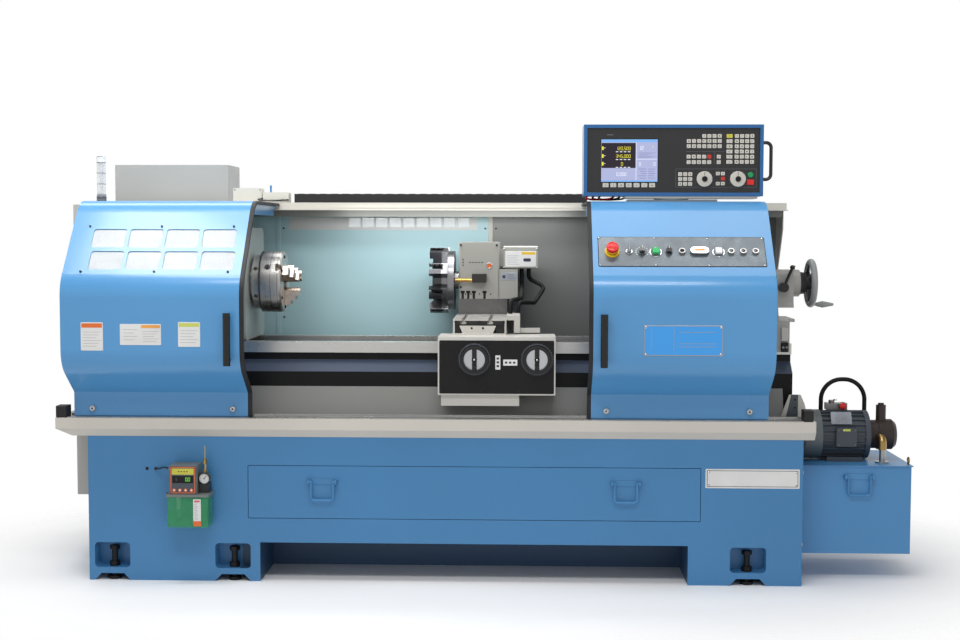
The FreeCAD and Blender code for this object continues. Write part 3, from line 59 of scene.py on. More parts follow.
base_low, base_high = span("base_cabinet")
left_low, left_high = span("left_door")
head_low, head_high = span("hmi_case")
apron_low, apron_high = span("carriage")
tank_low, tank_high = span("coolant_tank")
chuck_low, chuck_high = span("chuck")
disc_low, disc_high = span("turret_disc")
house_low = span("turret_housing")[0]
slide_low, slide_high = span("cross_slide")
tail_low, tail_high = span("tailstock")
wheel_low, wheel_high = span("tail_handwheel")
guard_low, guard_high = span("rear_guard")
cabinet_low, cabinet_high = span("cabinet_body")
lube_low, lube_high = span("lube_pump")
jar_low, jar_high = span("lube_reservoir")
motor_low, motor_high = span("pump_motor")
pump_low = span("hydraulic_pump")[0]
lamp_low, lamp_high = span("tower_lamp")
bed_low = span("bed")[0]
rail_low, rail_high = span("door_rail")

axis_y = (chuck_low.y + chuck_high.y) / 2
axis_z = (chuck_low.z + chuck_high.z) / 2
way_z = tail_low.z + 33
front_y = left_low.y
door_top = left_high.z
brow_y = 134.0
bulge_z = 1181.0
head_w = 716.0
head_h = 285.0


# ---- Local frames: two directions in a surface and one out of it ----

def grid(start, u, v, w):
    """A matrix from millimetres along u, v and w to the shared frame."""
    matrix = Matrix((u, v, w)).transposed().to_4x4()
    return Matrix.Translation(place(*start)) @ Matrix.Scale(MM, 4) @ matrix


def front(y):
    return grid((0, y, 0), X, Z, -Y)


def rear(y):
    return grid((0, y, 0), X, Z, Y)


def top(z):
    return grid((0, 0, z), X, Y, Z)


def free():
    """The working frame itself."""
    return grid((0, 0, 0), X, Y, Z)


def right_side(x):
    return grid((x, 0, 0), Y, Z, X)


def left_side(x):
    return grid((x, 0, 0), Y, Z, -X)


brow = Vector((0, brow_y, door_top))
down = (Vector((0, front_y, bulge_z)) - brow).normalized()
out = Vector((0, down.z, -down.y))


def slanted():
    """The guards' slanted face: x, distance down from the brow, distance out."""
    return grid(brow, X, down, out)


# ---- Materials ----

def shade(red, green, blue):
    """A linear colour from its 0 to 255 display values."""
    def linear(value):
        value /= 255
        return value / 12.92 if value <= 0.04045 else ((value + 0.055) / 1.055) ** 2.4
    return (linear(red), linear(green), linear(blue), 1.0)


def ramp(nodes, *limits):
    """A map range node, from its From Min, From Max, To Min and To Max."""
    node = nodes.new("ShaderNodeMapRange")
    for socket, limit in zip(("From Min", "From Max", "To Min", "To Max"), limits):
        node.inputs[socket].default_value = limit
    return node


class Finish:
    """A procedural material: one base, zones that repaint parts of it, then colour drift and fine relief."""

    def __init__(self, name, colour, rough, metal=0.0):
        self.material = bpy.data.materials.new(name)
        self.material.use_nodes = True
        self.nodes = self.material.node_tree.nodes
        self.links = self.material.node_tree.links
        self.bsdf = self.nodes["Principled BSDF"]
        self.spot = self.nodes.new("ShaderNodeTexCoord").outputs["Object"]
        self.split = self.nodes.new("ShaderNodeSeparateXYZ")
        self.links.new(self.spot, self.split.inputs[0])
        self.colour, self.rough, self.metal = colour, rough, metal

    def feed(self, value, socket):
        """A number or colour is set on the socket, and another socket is linked to it."""
        if isinstance(value, bpy.types.NodeSocket):
            self.links.new(value, socket)
        else:
            socket.default_value = value

    def math(self, operation, first, second=0.0):
        node = self.nodes.new("ShaderNodeMath")
        node.operation = operation
        self.feed(first, node.inputs[0])
        self.feed(second, node.inputs[1])
        return node.outputs[0]

    def noise(self, scale, detail=3.0, stretch=(1, 1, 1)):
        shift = self.nodes.new("ShaderNodeMapping")
        shift.inputs["Scale"].default_value = stretch
        self.links.new(self.spot, shift.inputs[0])
        node = self.nodes.new("ShaderNodeTexNoise")
        node.inputs["Scale"].default_value = scale
        node.inputs["Detail"].default_value = detail
        self.links.new(shift.outputs[0], node.inputs["Vector"])
        return node.outputs[0]

    def spread(self, value, low, high):
        """A noise value stretched from its usual middle range to low..high."""
        node = ramp(self.nodes, 0.3, 0.7, low, high)
        self.links.new(value, node.inputs[0])
        return node.outputs[0]

    def blend(self, mask, first, second):
        """The second number or colour where the mask is 1, the first where it is 0."""
        node = self.nodes.new("ShaderNodeMix")
        coloured = not (isinstance(first, float) or isinstance(second, float))
        node.data_type = "RGBA" if coloured else "FLOAT"
        a, b, result = (6, 7, 2) if coloured else (2, 3, 0)
        self.links.new(mask, node.inputs[0])
        self.feed(first, node.inputs[a])
        self.feed(second, node.inputs[b])
        return node.outputs[result]

    def within(self, x=None, y=None, z=None):
        """A mask that is 1 inside the given spans of the working frame."""
        mask = None
        for index, limits in enumerate((x, y, z)):
            for operation, limit in zip(("GREATER_THAN", "LESS_THAN"), limits or ()):
                if limit is None:
                    continue
                edge = corner[index] + limit * MM
                test = self.math(operation, self.split.outputs[index], edge)
                mask = test if mask is None else self.math("MULTIPLY", mask, test)
        return mask

    def reach(self, y, z):
        """The distance in metres from a line along X."""
        node = self.nodes.new("ShaderNodeVectorMath")
        node.operation = "MULTIPLY_ADD"
        node.inputs[1].default_value = (0, 1, 1)
        centre = place(0, y, z)
        node.inputs[2].default_value = (0, -centre.y, -centre.z)
        self.links.new(self.spot, node.inputs[0])
        length = self.nodes.new("ShaderNodeVectorMath")
        length.operation = "LENGTH"
        self.links.new(node.outputs[0], length.inputs[0])
        return length.outputs["Value"]

    def bump(self, height, strength, distance, normal=None):
        """Relief from a height value, laid over another normal."""
        node = self.nodes.new("ShaderNodeBump")
        node.inputs["Strength"].default_value = strength
        node.inputs["Distance"].default_value = distance
        self.links.new(height, node.inputs["Height"])
        if normal is not None:
            self.links.new(normal, node.inputs["Normal"])
        return node.outputs[0]

    def zone(self, mask, colour, rough=None, metal=None):
        """Repaints what the mask covers."""
        self.colour = self.blend(mask, self.colour, colour)
        if rough is not None:
            self.rough = self.blend(mask, self.rough, rough)
        if metal is not None:
            self.metal = self.blend(mask, self.metal, metal)
        return self

    def zones(self, zones):
        for mask, *look in zones:
            self.zone(mask(self), *look)

    def done(self, drift=0.05, patch=1.6, relief=0.0, grain=400.0, stretch=(1, 1, 1), wear=0.06,
             coat=0.0, soften=0.0):
        """Colour drift in broad patches, uneven gloss, fine relief, and softened edges."""
        cloud = self.noise(patch, 4.0)
        fine = self.noise(grain, 2.0, stretch)
        tone = self.math("MULTIPLY", self.spread(cloud, 1 - drift, 1 + drift),
                         self.spread(fine, 1 - drift / 3, 1 + drift / 3))
        tinted = self.nodes.new("ShaderNodeVectorMath")
        tinted.operation = "SCALE"
        self.feed(self.colour if isinstance(self.colour, bpy.types.NodeSocket) else self.colour[:3],
                  tinted.inputs[0])
        self.links.new(tone, tinted.inputs["Scale"])
        self.links.new(tinted.outputs[0], self.bsdf.inputs["Base Color"])
        gloss = self.math("ADD", self.rough, self.spread(self.noise(patch * 5, 3.0), -wear, wear))
        self.links.new(gloss, self.bsdf.inputs["Roughness"])
        self.feed(self.metal, self.bsdf.inputs["Metallic"])
        self.bsdf.inputs["Coat Weight"].default_value = coat
        self.bsdf.inputs["Coat Roughness"].default_value = 0.12
        normal = None
        if soften:
            node = self.nodes.new("ShaderNodeBevel")
            node.samples = 3
            node.inputs["Radius"].default_value = soften * MM
            normal = node.outputs[0]
        if relief:
            normal = self.bump(fine, relief, 0.0006, normal)
        if normal is not None:
            self.links.new(normal, self.bsdf.inputs["Normal"])
        return self.material


def enamel(name, colour, rough=0.34, zones=(), coat=0.35, soften=1.5, drift=0.04):
    """Sprayed machine paint with a faint orange-peel skin."""
    paint = Finish(name, colour, rough)
    paint.zones(zones)
    return paint.done(drift=drift, relief=0.04, grain=260.0, wear=0.015, coat=coat, soften=soften)


def plastic(name, colour, rough=0.45, relief=0.12, glow=0.0, shine=0.5):
    dim = 1 - 0.85 * glow
    part = Finish(name, (colour[0] * dim, colour[1] * dim, colour[2] * dim, 1.0), rough)
    made = part.done(drift=0.06, patch=9.0, relief=relief, grain=700.0)
    part.bsdf.inputs["Specular IOR Level"].default_value = shine
    if glow:
        part.bsdf.inputs["Emission Color"].default_value = colour
        part.bsdf.inputs["Emission Strength"].default_value = glow
    return made


def metal(name, colour, rough=0.3, stretch=(1, 1, 1), grain=300.0, relief=0.12, soften=0.8, drift=0.08):
    """Bare metal whose grain runs across the short sides of stretch."""
    part = Finish(name, colour, rough, 1.0)
    return part.done(drift=drift, patch=3.0, relief=relief, grain=grain, stretch=stretch, wear=0.08,
                     soften=soften)


def turned(name, colour, rough, y, z, pitch=900.0, zones=()):
    """Metal turned on a lathe: fine rings about a line along X."""
    part = Finish(name, colour, rough, 1.0)
    part.zones(zones)
    rings = part.nodes.new("ShaderNodeTexNoise")
    rings.noise_dimensions = "1D"
    rings.inputs["Detail"].default_value = 3.0
    rings.inputs["Scale"].default_value = pitch
    part.links.new(part.math("ADD", part.reach(y, z), part.split.outputs[0]), rings.inputs["W"])
    part.rough = part.math("ADD", part.rough, part.spread(rings.outputs[0], -0.08, 0.1))
    made = part.done(drift=0.1, patch=5.0, relief=0.05, soften=0.8)
    under = part.bsdf.inputs["Normal"].links[0].from_socket
    part.links.new(part.bump(rings.outputs[0], 0.12, 0.0004, under), part.bsdf.inputs["Normal"])
    return made


def glass(name, colour, alpha, rough=0.05, streak=0.0):
    """Clear sheet: mostly see-through, with a bright reflection and faint smears."""
    part = Finish(name, colour, rough)
    made = part.done(drift=0.03, patch=7.0, relief=0.02, grain=12.0)
    smear = part.spread(part.noise(9.0, 5.0, (0.4, 1.0, 2.0)), alpha - streak, alpha + streak)
    part.links.new(smear, part.bsdf.inputs["Alpha"])
    return made


def box_of(x=None, y=None, z=None):
    return lambda paint: paint.within(x, y, z)


ivory_tone = shade(188, 184, 176)
steel_tone = shade(190, 190, 188)

guard_blue = enamel("guard_blue", shade(82, 150, 204), 0.3, coat=0.4, soften=0)
base_blue = enamel("base_blue", shade(64, 126, 176), 0.42, coat=0.1)
tank_blue = enamel("tank_blue", shade(74, 136, 188), 0.4, coat=0.1)
head_blue = shade(22, 92, 150)
ivory = enamel("ivory", ivory_tone, 0.4, coat=0.2)
plate_white = plastic("plate_white", shade(222, 222, 220), 0.35, 0.02)
plate_orange = plastic("plate_orange", shade(226, 110, 44), 0.35, 0.02)
plate_amber = plastic("plate_amber", shade(236, 160, 70), 0.35, 0.02)
plate_lime = plastic("plate_lime", shade(196, 204, 96), 0.35, 0.02)
plate_rule = plastic("plate_rule", shade(150, 152, 156), 0.4, 0.02)
plate_ink = plastic("plate_ink", shade(48, 52, 66), 0.4, 0.02)
plate_blue = enamel("plate_blue", shade(58, 158, 236), 0.3, coat=0.3, soften=0)
plate_silver = metal("plate_silver", shade(168, 174, 184), 0.35, (1, 1, 12), soften=0)
steel = metal("bright_steel", steel_tone, 0.28, (0.1, 1, 1), 500.0)
chrome = metal("chrome", shade(225, 226, 228), 0.1, relief=0.02, drift=0.03)
brass = metal("brass", shade(180, 148, 92), 0.3)
iron = metal("machined_iron", shade(112, 112, 114), 0.4, relief=0.2)
dark_iron = metal("dark_iron", shade(58, 58, 62), 0.42, relief=0.25)
rubber = plastic("rubber", shade(18, 18, 19), 0.62, 0.3, shine=0.3)
black_plastic = plastic("black_plastic", shade(18, 18, 20), 0.28, 0.08)
matt_black = plastic("matt_black", shade(18, 17, 19), 0.5, 0.15, shine=0.3)
red_plastic = plastic("red_plastic", shade(222, 36, 28), 0.26, 0.03)
orange_plastic = plastic("orange_plastic", shade(226, 104, 44), 0.35, 0.03)
yellow_plastic = plastic("yellow_plastic", shade(226, 186, 30), 0.35, 0.03)
green_plastic = plastic("green_plastic", shade(20, 150, 84), 0.3, 0.03)
green_lit = plastic("green_lit", shade(24, 176, 92), 0.3, 0.03, glow=0.5)
white_lit = plastic("white_lit", shade(232, 234, 236), 0.3, 0.03, glow=0.3)
key_grey = plastic("key_grey", shade(196, 192, 182), 0.5, 0.05)
key_ink = plastic("key_ink", shade(70, 70, 72), 0.5, 0.02)
key_yellow = plastic("key_yellow", shade(196, 190, 70), 0.45, 0.04)
key_red = plastic("key_red", shade(206, 44, 34), 0.45, 0.04)
line_grey = plastic("line_grey", shade(104, 104, 108), 0.5, 0.02)
motor_grey = enamel("motor_grey", shade(66, 74, 82), 0.42, coat=0.15)
# Grey for the strip under the beam's front face: painted shade for the beam's underside.
beam_underside_shade = enamel("beam_underside_shade", shade(122, 124, 119), 0.45, coat=0.0)
# Near-black: painted shade for the backs of holes, sockets, recesses and slots that are not cut, and the
# screen's real black bezel.
hole_shade_and_bezel_black = plastic("hole_shade_and_bezel_black", shade(12, 12, 14), 0.7, 0.05)
screen_bar = plastic("screen_bar", shade(120, 172, 230), 0.2, 0.0, glow=1.0)
screen_dark = plastic("screen_dark", shade(26, 12, 30), 0.2, 0.0, glow=1.0)
screen_pale = plastic("screen_pale", shade(166, 172, 208), 0.2, 0.0, glow=1.0)
screen_ink = plastic("screen_ink", shade(244, 246, 255), 0.2, 0.0, glow=1.0)
screen_grey = plastic("screen_grey", shade(112, 116, 164), 0.2, 0.0, glow=1.0)
screen_yellow = plastic("screen_yellow", shade(246, 236, 60), 0.2, 0.0, glow=1.0)
led_green = plastic("led_green", shade(130, 240, 80), 0.2, 0.0, glow=1.0)


# ---- Small solids, gathered into pieces ----

def rounded(u0, u1, v0, v1, r, steps=3):
    """The outline of a rectangle with rounded corners."""
    points = []
    for cu, cv, start in ((u1 - r, v1 - r, 0), (u0 + r, v1 - r, 90),
                          (u0 + r, v0 + r, 180), (u1 - r, v0 + r, 270)):
        for step in range(steps + 1):
            angle = math.radians(start + 90 * step / steps)
            points.append((cu + r * math.cos(angle), cv + r * math.sin(angle)))
    return points


def turns(count):
    """Equal angles round a full turn."""
    return [math.tau * i / count for i in range(count)]


def circle(centre, across, along, radius, count):
    """Points on a circle in the plane of two unit vectors."""
    return [centre + across * (radius * math.cos(a)) + along * (radius * math.sin(a)) for a in turns(count)]


def smooth(points, steps=6):
    """A smooth line through the points."""
    line = [Vector(p) for p in points]
    line = [2 * line[0] - line[1]] + line + [2 * line[-1] - line[-2]]
    found = []
    for a, b, c, d in zip(line, line[1:], line[2:], line[3:]):
        for step in range(steps):
            t = step / steps
            found.append(0.5 * (2 * b + (c - a) * t + (2 * a - 5 * b + 4 * c - d) * t * t
                                + (3 * b - 3 * c + d - a) * t ** 3))
    return found + [line[-2]]


SEGMENTS = {"0": "abcdef", "1": "bc", "2": "abged", "3": "abgcd", "4": "fgbc", "5": "afgcd", "6": "afgedc",
            "7": "abc", "8": "abcdefg", "9": "abcdfg", "-": "g"}


class Piece:
    """A mesh gathered from small closed solids, given in millimetres in a local frame."""

    def __init__(self, name, body, where):
        self.name, self.body, self.where = name, body, where
        self.mesh = bmesh.new()
        self.finishes = []

    def take(self, points, faces, finish):
        if finish not in self.finishes:
            self.finishes.append(finish)
        corners = [self.mesh.verts.new(self.where @ Vector(p)) for p in points]
        for face in faces:
            made = self.mesh.faces.new([corners[i] for i in face])
            made.material_index = self.finishes.index(finish)
        return self

    def stack(self, rings, finish, ends=True):
        """Skins equal rings of points into one closed solid, or into a closed loop without ends."""
        count = len(rings[0])
        points = [p for ring in rings for p in ring]
        faces = []
        for row in range(len(rings) - (1 if ends else 0)):
            here, there = row * count, (row + 1) % len(rings) * count
            for i in range(count):
                j = (i + 1) % count
                faces.append((here + i, here + j, there + j, there + i))
        if ends:
            faces.append(tuple(range(count)))
            faces.append(tuple(range(len(points) - count, len(points))))
        return self.take(points, faces, finish)

    def slab(self, u0, u1, v0, v1, w0, w1, finish, r=1.5, edge=0.5):
        """A flat block with rounded corners and a chamfered outer edge."""
        r = min(r, abs(u1 - u0) / 2.1, abs(v1 - v0) / 2.1)
        edge = min(edge, abs(w1 - w0) / 2, r * 0.6)
        side = math.copysign(edge, w1 - w0)
        base = rounded(u0, u1, v0, v1, r)
        crown = rounded(u0 + edge, u1 - edge, v0 + edge, v1 - edge, r - edge * 0.6)
        rings = [[(*p, w0) for p in base], [(*p, w1 - side) for p in base], [(*p, w1) for p in crown]]
        return self.stack(rings, finish)

    def turn(self, u, v, profile, finish, sides=28, ends=True):
        """A solid turned about w from its (radius, w) profile."""
        rings = []
        for radius, w in profile:
            rings.append([(u + radius * math.cos(a), v + radius * math.sin(a), w) for a in turns(sides)])
        return self.stack(rings, finish, ends)

    def disc(self, u, v, w0, w1, radius, finish, edge=0.6, sides=28):
        side = math.copysign(min(edge, abs(w1 - w0) / 2), w1 - w0)
        profile = [(radius, w0), (radius, w1 - side), (radius - abs(side), w1)]
        return self.turn(u, v, profile, finish, sides)

    def ring(self, u, v, w0, w1, outer, inner, finish, sides=32):
        lip = min(0.8, (outer - inner) / 4)
        profile = [(outer, w0), (outer, w1 - lip), (outer - lip, w1),
                   (inner + lip, w1), (inner, w1 - lip), (inner, w0)]
        return self.turn(u, v, profile, finish, sides, ends=False)

    def prism(self, points, w0, w1, finish):
        return self.stack([[(*p, w0) for p in points], [(*p, w1) for p in points]], finish)

    def tube(self, points, radius, finish, sides=12):
        """A round bar along a line of points."""
        line = [Vector(p) for p in points]
        side = None
        rings = []
        for i, here in enumerate(line):
            ahead = (line[min(i + 1, len(line) - 1)] - line[max(i - 1, 0)]).normalized()
            if side is None:
                side = ahead.orthogonal().normalized()
            side = (side - ahead * side.dot(ahead)).normalized()
            other = ahead.cross(side)
            rings.append(circle(here, side, other, radius, sides))
        return self.stack(rings, finish)

    def screw(self, u, v, w, radius, finish, slot=hole_shade_and_bezel_black):
        """A domed head with a cross recess, drawn as raised near-black bars: painted shade."""
        self.turn(u, v, [(radius, w), (radius, w + radius * 0.3), (radius * 0.7, w + radius * 0.6),
                         (radius * 0.3, w + radius * 0.68)], finish, 16)
        bar = radius * 0.14
        height = w + radius * 0.72
        self.slab(u - radius * 0.55, u + radius * 0.55, v - bar, v + bar, w, height, slot, bar, 0.0)
        return self.slab(u - bar, u + bar, v - radius * 0.55, v + radius * 0.55, w, height, slot, bar, 0.0)

    def socket_screw(self, u, v, w, radius, finish):
        """A cap screw with a hexagonal socket, drawn as a near-black disc: painted shade."""
        self.ring(u, v, w, w + radius * 0.9, radius, radius * 0.5, finish, 20)
        return self.disc(u, v, w, w + radius * 0.35, radius * 0.55, hole_shade_and_bezel_black, 0.1, 6)

    def screws(self, us, vs, w, radius, finish):
        """A cross-recess screw at every pairing of us and vs."""
        for u in us:
            for v in vs:
                self.screw(u, v, w, radius, finish)

    def ticks(self, u, v, radius, angles, half, w0, w1, finish, r):
        """Small square marks round a point."""
        for angle in angles:
            cu, cv = u + radius * math.cos(angle), v + radius * math.sin(angle)
            self.slab(cu - half, cu + half, cv - half, cv + half, w0, w1, finish, r, 0.0)

    def border(self, u0, u1, v0, v1, width, w0, w1, finish, r, edge=0.0):
        """A frame of four strips inside a rectangle."""
        for a, b, c, d in ((u0, u1, v1 - width, v1), (u0, u1, v0, v0 + width),
                           (u0, u0 + width, v0, v1), (u1 - width, u1, v0, v1)):
            self.slab(a, b, c, d, w0, w1, finish, r, edge)

    def digits(self, text, u, v, size, w0, w1, finish, grow_v=1):
        """Plain seven-bar figures, read along u; grow_v is 1 where v runs up and -1 where it runs down."""
        wide, bar = size * 0.5, size * 0.1
        half = bar / 2
        lines = {"a": (0, wide, 1, 1), "g": (0, wide, 0.5, 0.5), "d": (0, wide, 0, 0),
                 "f": (0, 0, 0.5, 1), "b": (wide, wide, 0.5, 1),
                 "e": (0, 0, 0, 0.5), "c": (wide, wide, 0, 0.5)}
        for figure in text:
            if figure == ".":
                self.slab(u - bar, u + bar, v - bar, v + bar, w0, w1, finish, bar, 0.0)
                u += size * 0.3
                continue
            for name in SEGMENTS.get(figure, ""):
                a, b, low, high = lines[name]
                v0, v1 = sorted((v + grow_v * low * size, v + grow_v * high * size))
                self.slab(u + a - half, u + b + half, v0 - half, v1 + half, w0, w1, finish, half, 0.0)
            u += size * 0.78
        return self

    def done(self, slot=None):
        bmesh.ops.recalc_face_normals(self.mesh, faces=self.mesh.faces)
        data = bpy.data.meshes.new(self.name)
        self.mesh.to_mesh(data)
        self.mesh.free()
        for finish in self.finishes:
            data.materials.append(finish)
        data.shade_smooth()
        data.set_sharp_from_angle(angle=math.radians(38))
        made = bpy.data.objects.new(self.name, data)
        bpy.context.scene.collection.objects.link(made)
        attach(made, self.body)
        return made


def dress(node, finish):
    """Gives a node of the frame its finish."""
    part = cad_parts[node]
    if not part.material_slots:
        part.data.materials.append(finish)
    for holder in part.material_slots:
        holder.link = "OBJECT"
        holder.material = finish


def worn_by(node):
    """The finish a node of the frame was given."""
    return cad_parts[node].material_slots[0].material


# ---- Finishes of the construction's own parts ----

def dress_base():
    # The recess at the foot of the base is painted darker blue: painted shade.
    dress("base_cabinet", enamel("cabinet_blue", shade(64, 126, 176), 0.42, coat=0.1, zones=[
        (box_of(x=(600, 2450), y=(4, None), z=(None, 160)), shade(40, 74, 108), 0.5)]))
    dress("chip_drawer", base_blue)
    for node in ("drawer_bail_left", "drawer_bail_right", "tank_bail"):
        dress(node, base_blue)
    dress("levelling_screws", matt_black)
    # Inside the tray the ivory floor and slopes are painted grey: painted shade.
    dress("chip_tray", enamel("tray_ivory", shade(204, 199, 190), 0.42, coat=0.1, zones=[
        (box_of(y=(70, 830), z=(None, 770)), shade(128, 128, 125), 0.38)]))
    rail = Finish("track_steel", shade(176, 176, 174), 0.3, 1.0)
    for limits in ((None, rail_low.x + 41.5), (rail_high.x - 36.5, None)):
        rail.zone(rail.within(x=limits), shade(24, 24, 25), 0.6, 0.0)
    dress("door_rail", rail.done(drift=0.06, relief=0.1, stretch=(0.1, 1, 1), soften=1.0))


def dress_guards():
    for side in ("left", "right"):
        dress(side + "_door", guard_blue)
        trim = Finish(side + "_seal_and_grip", shade(24, 24, 26), 0.55)
        trim.zone(trim.within(y=(None, front_y - 3)), shade(14, 14, 16), 0.22)
        dress(side + "_door_trim", trim.done(drift=0.05, relief=0.1, grain=500.0, soften=1.0))
        dress(side + "_door_rollers", steel)
    dress("left_door_windows", glass("pane", shade(184, 190, 194), 0.9, 0.3, 0.08))
    plate = Finish("panel_steel", shade(112, 120, 126), 0.3, 0.45)
    dress("control_panel", plate.done(drift=0.22, patch=5.0, relief=0.05, grain=420.0, stretch=(0.15, 1, 1),
                                      soften=0.6))
    dress("emergency_button", red_plastic)
    dress("green_button", green_lit)
    dress("white_button", white_lit)
    dress("rate_knob", iron)
    dress("selector_knob", black_plastic)


def dress_head():
    case = Finish("head_case", head_blue, 0.35)
    case.zone(case.within(x=(head_low.x + 12, head_low.x + head_w - 12), y=(head_low.y + 4, head_low.y + 12),
                          z=(head_high.z - head_h + 12, head_high.z - 12)), shade(22, 22, 25), 0.45)
    case.zone(case.within(x=(head_low.x + head_w + 0.2, None)), shade(20, 20, 22), 0.4)
    case.zone(case.within(z=(None, head_high.z - head_h)), shade(200, 196, 186), 0.42)
    dress("hmi_case", case.done(drift=0.04, relief=0.05, grain=300.0, coat=0.3, soften=1.5))
    dress("hmi_turntable", enamel("turntable_ivory", shade(190, 186, 176), 0.42))
    for side in ("left", "right"):
        dress("override_knob_" + side, key_grey)


def dress_inside():
    bed = Finish("bed_casting", shade(10, 10, 12), 0.45)
    bed.zone(bed.within(z=(way_z - 44.5, None)), shade(206, 205, 202), 0.3, 0.8)
    # The sloped ledge on the black bed is painted blue-grey: a painted reflection of the sky light.
    bed.zone(bed.within(y=(None, bed_low.y + 52), z=(819, 864)), shade(70, 80, 98), 0.4)
    dress("bed", bed.done(drift=0.08, relief=0.06, grain=420.0, stretch=(0.06, 1, 1), soften=1.0))
    bed.bsdf.inputs["Specular IOR Level"].default_value = 0.25
    # The headstock's ivory is painted darker and greyer all over: painted shade. The ring round the spindle
    # nose is bare metal.
    head = Finish("headstock_ivory_in_painted_shade", shade(160, 168, 166), 0.4)
    ring = head.math("LESS_THAN", head.reach(axis_y, axis_z), 95.5 * MM)
    head.zone(ring, shade(150, 150, 150), 0.32, 1.0)
    dress("headstock", head.done(drift=0.05, relief=0.06, grain=260.0, soften=1.5))
    turned_steel = turned("turned_steel", shade(170, 168, 166), 0.24, axis_y, axis_z)
    for node in ("spindle", "quill"):
        dress(node, turned_steel)
    dress("chuck", turned("chuck_steel", shade(214, 210, 204), 0.34, axis_y, axis_z, 1400.0))
    for number in "123":
        dress("jaw_" + number, metal("jaw_steel_" + number, shade(196, 184, 172), 0.26, (1, 0.3, 1), 500.0))
    dress("motor_pulley", iron)
    dress("main_motor", motor_grey)
    dress("drive_belt", rubber)
    dress("end_cover", ivory)


slot_us = (18, 42, 66, 112)


def dress_carriage():
    dress("carriage", enamel("carriage_ivory", shade(204, 201, 194), 0.38, coat=0.1))
    for node in ("longitudinal_handwheel", "cross_handwheel"):
        wheel = Finish(node + "_finish", shade(20, 20, 22), 0.3)
        wheel.zone(wheel.within(y=(apron_low.y - 8.2, None)), shade(206, 208, 212), 0.2, 1.0)
        dress(node, wheel.done(drift=0.05, relief=0.05, grain=500.0, soften=1.0))
    slide = Finish("slide_ivory", shade(192, 189, 183), 0.38)
    slide.zone(slide.within(x=(slide_low.x + 8, slide_low.x + 209), z=(None, slide_high.z - 21),
                            y=(None, slide_low.y + 11)), shade(30, 29, 30), 0.5)
    slide.zone(slide.within(x=(slide_low.x + 3, slide_low.x + 214), y=(slide_low.y + 3, None),
                            z=(slide_high.z - 15.5, slide_high.z - 14.5)), shade(168, 166, 162), 0.3)
    dress("cross_slide", slide.done(drift=0.05, relief=0.05, soften=1.0))
    house = Finish("housing_ivory", shade(164, 163, 156), 0.38)
    house.zone(house.within(z=(None, house_low.z + 66)), shade(126, 124, 123), 0.3, 0.85)
    arm = house_low.x + 73
    house.zone(house.within(x=(arm, None), y=(None, house_low.y + 29.5)), shade(44, 40, 38), 0.5)
    house.zone(house.within(x=(None, arm), y=(None, house_low.y + 29.5)), shade(196, 156, 84), 0.28, 1.0)
    # The walls of the tool slots are painted near black: painted shade in the slots.
    for u in slot_us:
        x = house_low.x + 14 + u
        house.zone(house.within(x=(x - 5.2, x + 5.2), y=(house_low.y + 31, house_low.y + 44.5),
                                z=(house_low.z + 66.5, house_low.z + 100.5)), shade(26, 26, 28), 0.5)
    dress("turret_housing", house.done(drift=0.05, relief=0.05, soften=1.2))
    disc_y, disc_z = (disc_low.y + disc_high.y) / 2, (disc_low.z + disc_high.z) / 2
    dress("turret_disc", turned("turret_steel", shade(150, 150, 153), 0.34, disc_y, disc_z, 700.0, zones=[
        (box_of(x=(None, disc_high.x - 128)), shade(92, 92, 96), 0.36, 0.9)]))
    dress("turret_hoses", rubber)


def dress_tail():
    dress("tailstock", enamel("tailstock_ivory", shade(164, 162, 157), 0.4, coat=0.1))
    wheel = Finish("tail_wheel_finish", shade(146, 148, 148), 0.4)
    wheel.zone(wheel.math("MULTIPLY", wheel.math("LESS_THAN", wheel.reach(axis_y, axis_z), 76 * MM),
                          wheel.within(x=(None, wheel_high.x - 50))), shade(34, 34, 36), 0.35)
    dress("tail_handwheel", wheel.done(drift=0.05, relief=0.08, soften=1.0))
    dress("lock_lever", black_plastic)


def dress_rear():
    wall = Finish("guard_teal", shade(166, 200, 206), 0.38)
    # Right of the seam at x 1572 the teal wall is painted grey: painted shade.
    wall.zone(wall.within(x=(1572, guard_high.x - 6), y=(None, guard_low.y + 1000)),
              shade(124, 126, 124), 0.4)
    wall.zone(wall.within(x=(664, 1512), y=(700, None), z=(1393, 1449)), shade(196, 198, 196), 0.4)
    wall.zone(wall.within(x=(guard_high.x - 5, None)), shade(204, 200, 190), 0.42)
    dress("rear_guard", wall.done(drift=0.05, relief=0.05, coat=0.15, soften=1.0))
    dress("rear_windows", glass("rear_pane", shade(228, 236, 238), 0.5, 0.1, 0.1))
    dress("upper_beam", enamel("beam_ivory", shade(208, 205, 196), 0.4))
    duct = Finish("duct_finish", shade(30, 29, 31), 0.5)
    duct.zone(duct.within(x=(None, 690)), shade(212, 210, 200), 0.42)
    dress("cable_ducts", duct.done(drift=0.05, relief=0.08, soften=1.0))
    for node in ("cabinet_body", "cabinet_door"):
        box = Finish(node + "_grey", shade(172, 174, 172), 0.5)
        dress(node, box.done(drift=0.04, relief=0.25, grain=420.0, soften=1.5))
    lamp = Finish("lamp_clear", shade(228, 232, 236), 0.12)
    lamp.zone(lamp.within(z=(None, lamp_low.z + 50)), shade(150, 156, 166), 0.3, 0.7)
    made = lamp.done(drift=0.08, patch=30.0, relief=0.1, grain=160.0)
    fade = lamp.blend(lamp.within(z=(lamp_low.z + 50, lamp_low.z + 195)), 1.0, 0.45)
    lamp.links.new(fade, lamp.bsdf.inputs["Alpha"])
    dress("tower_lamp", made)


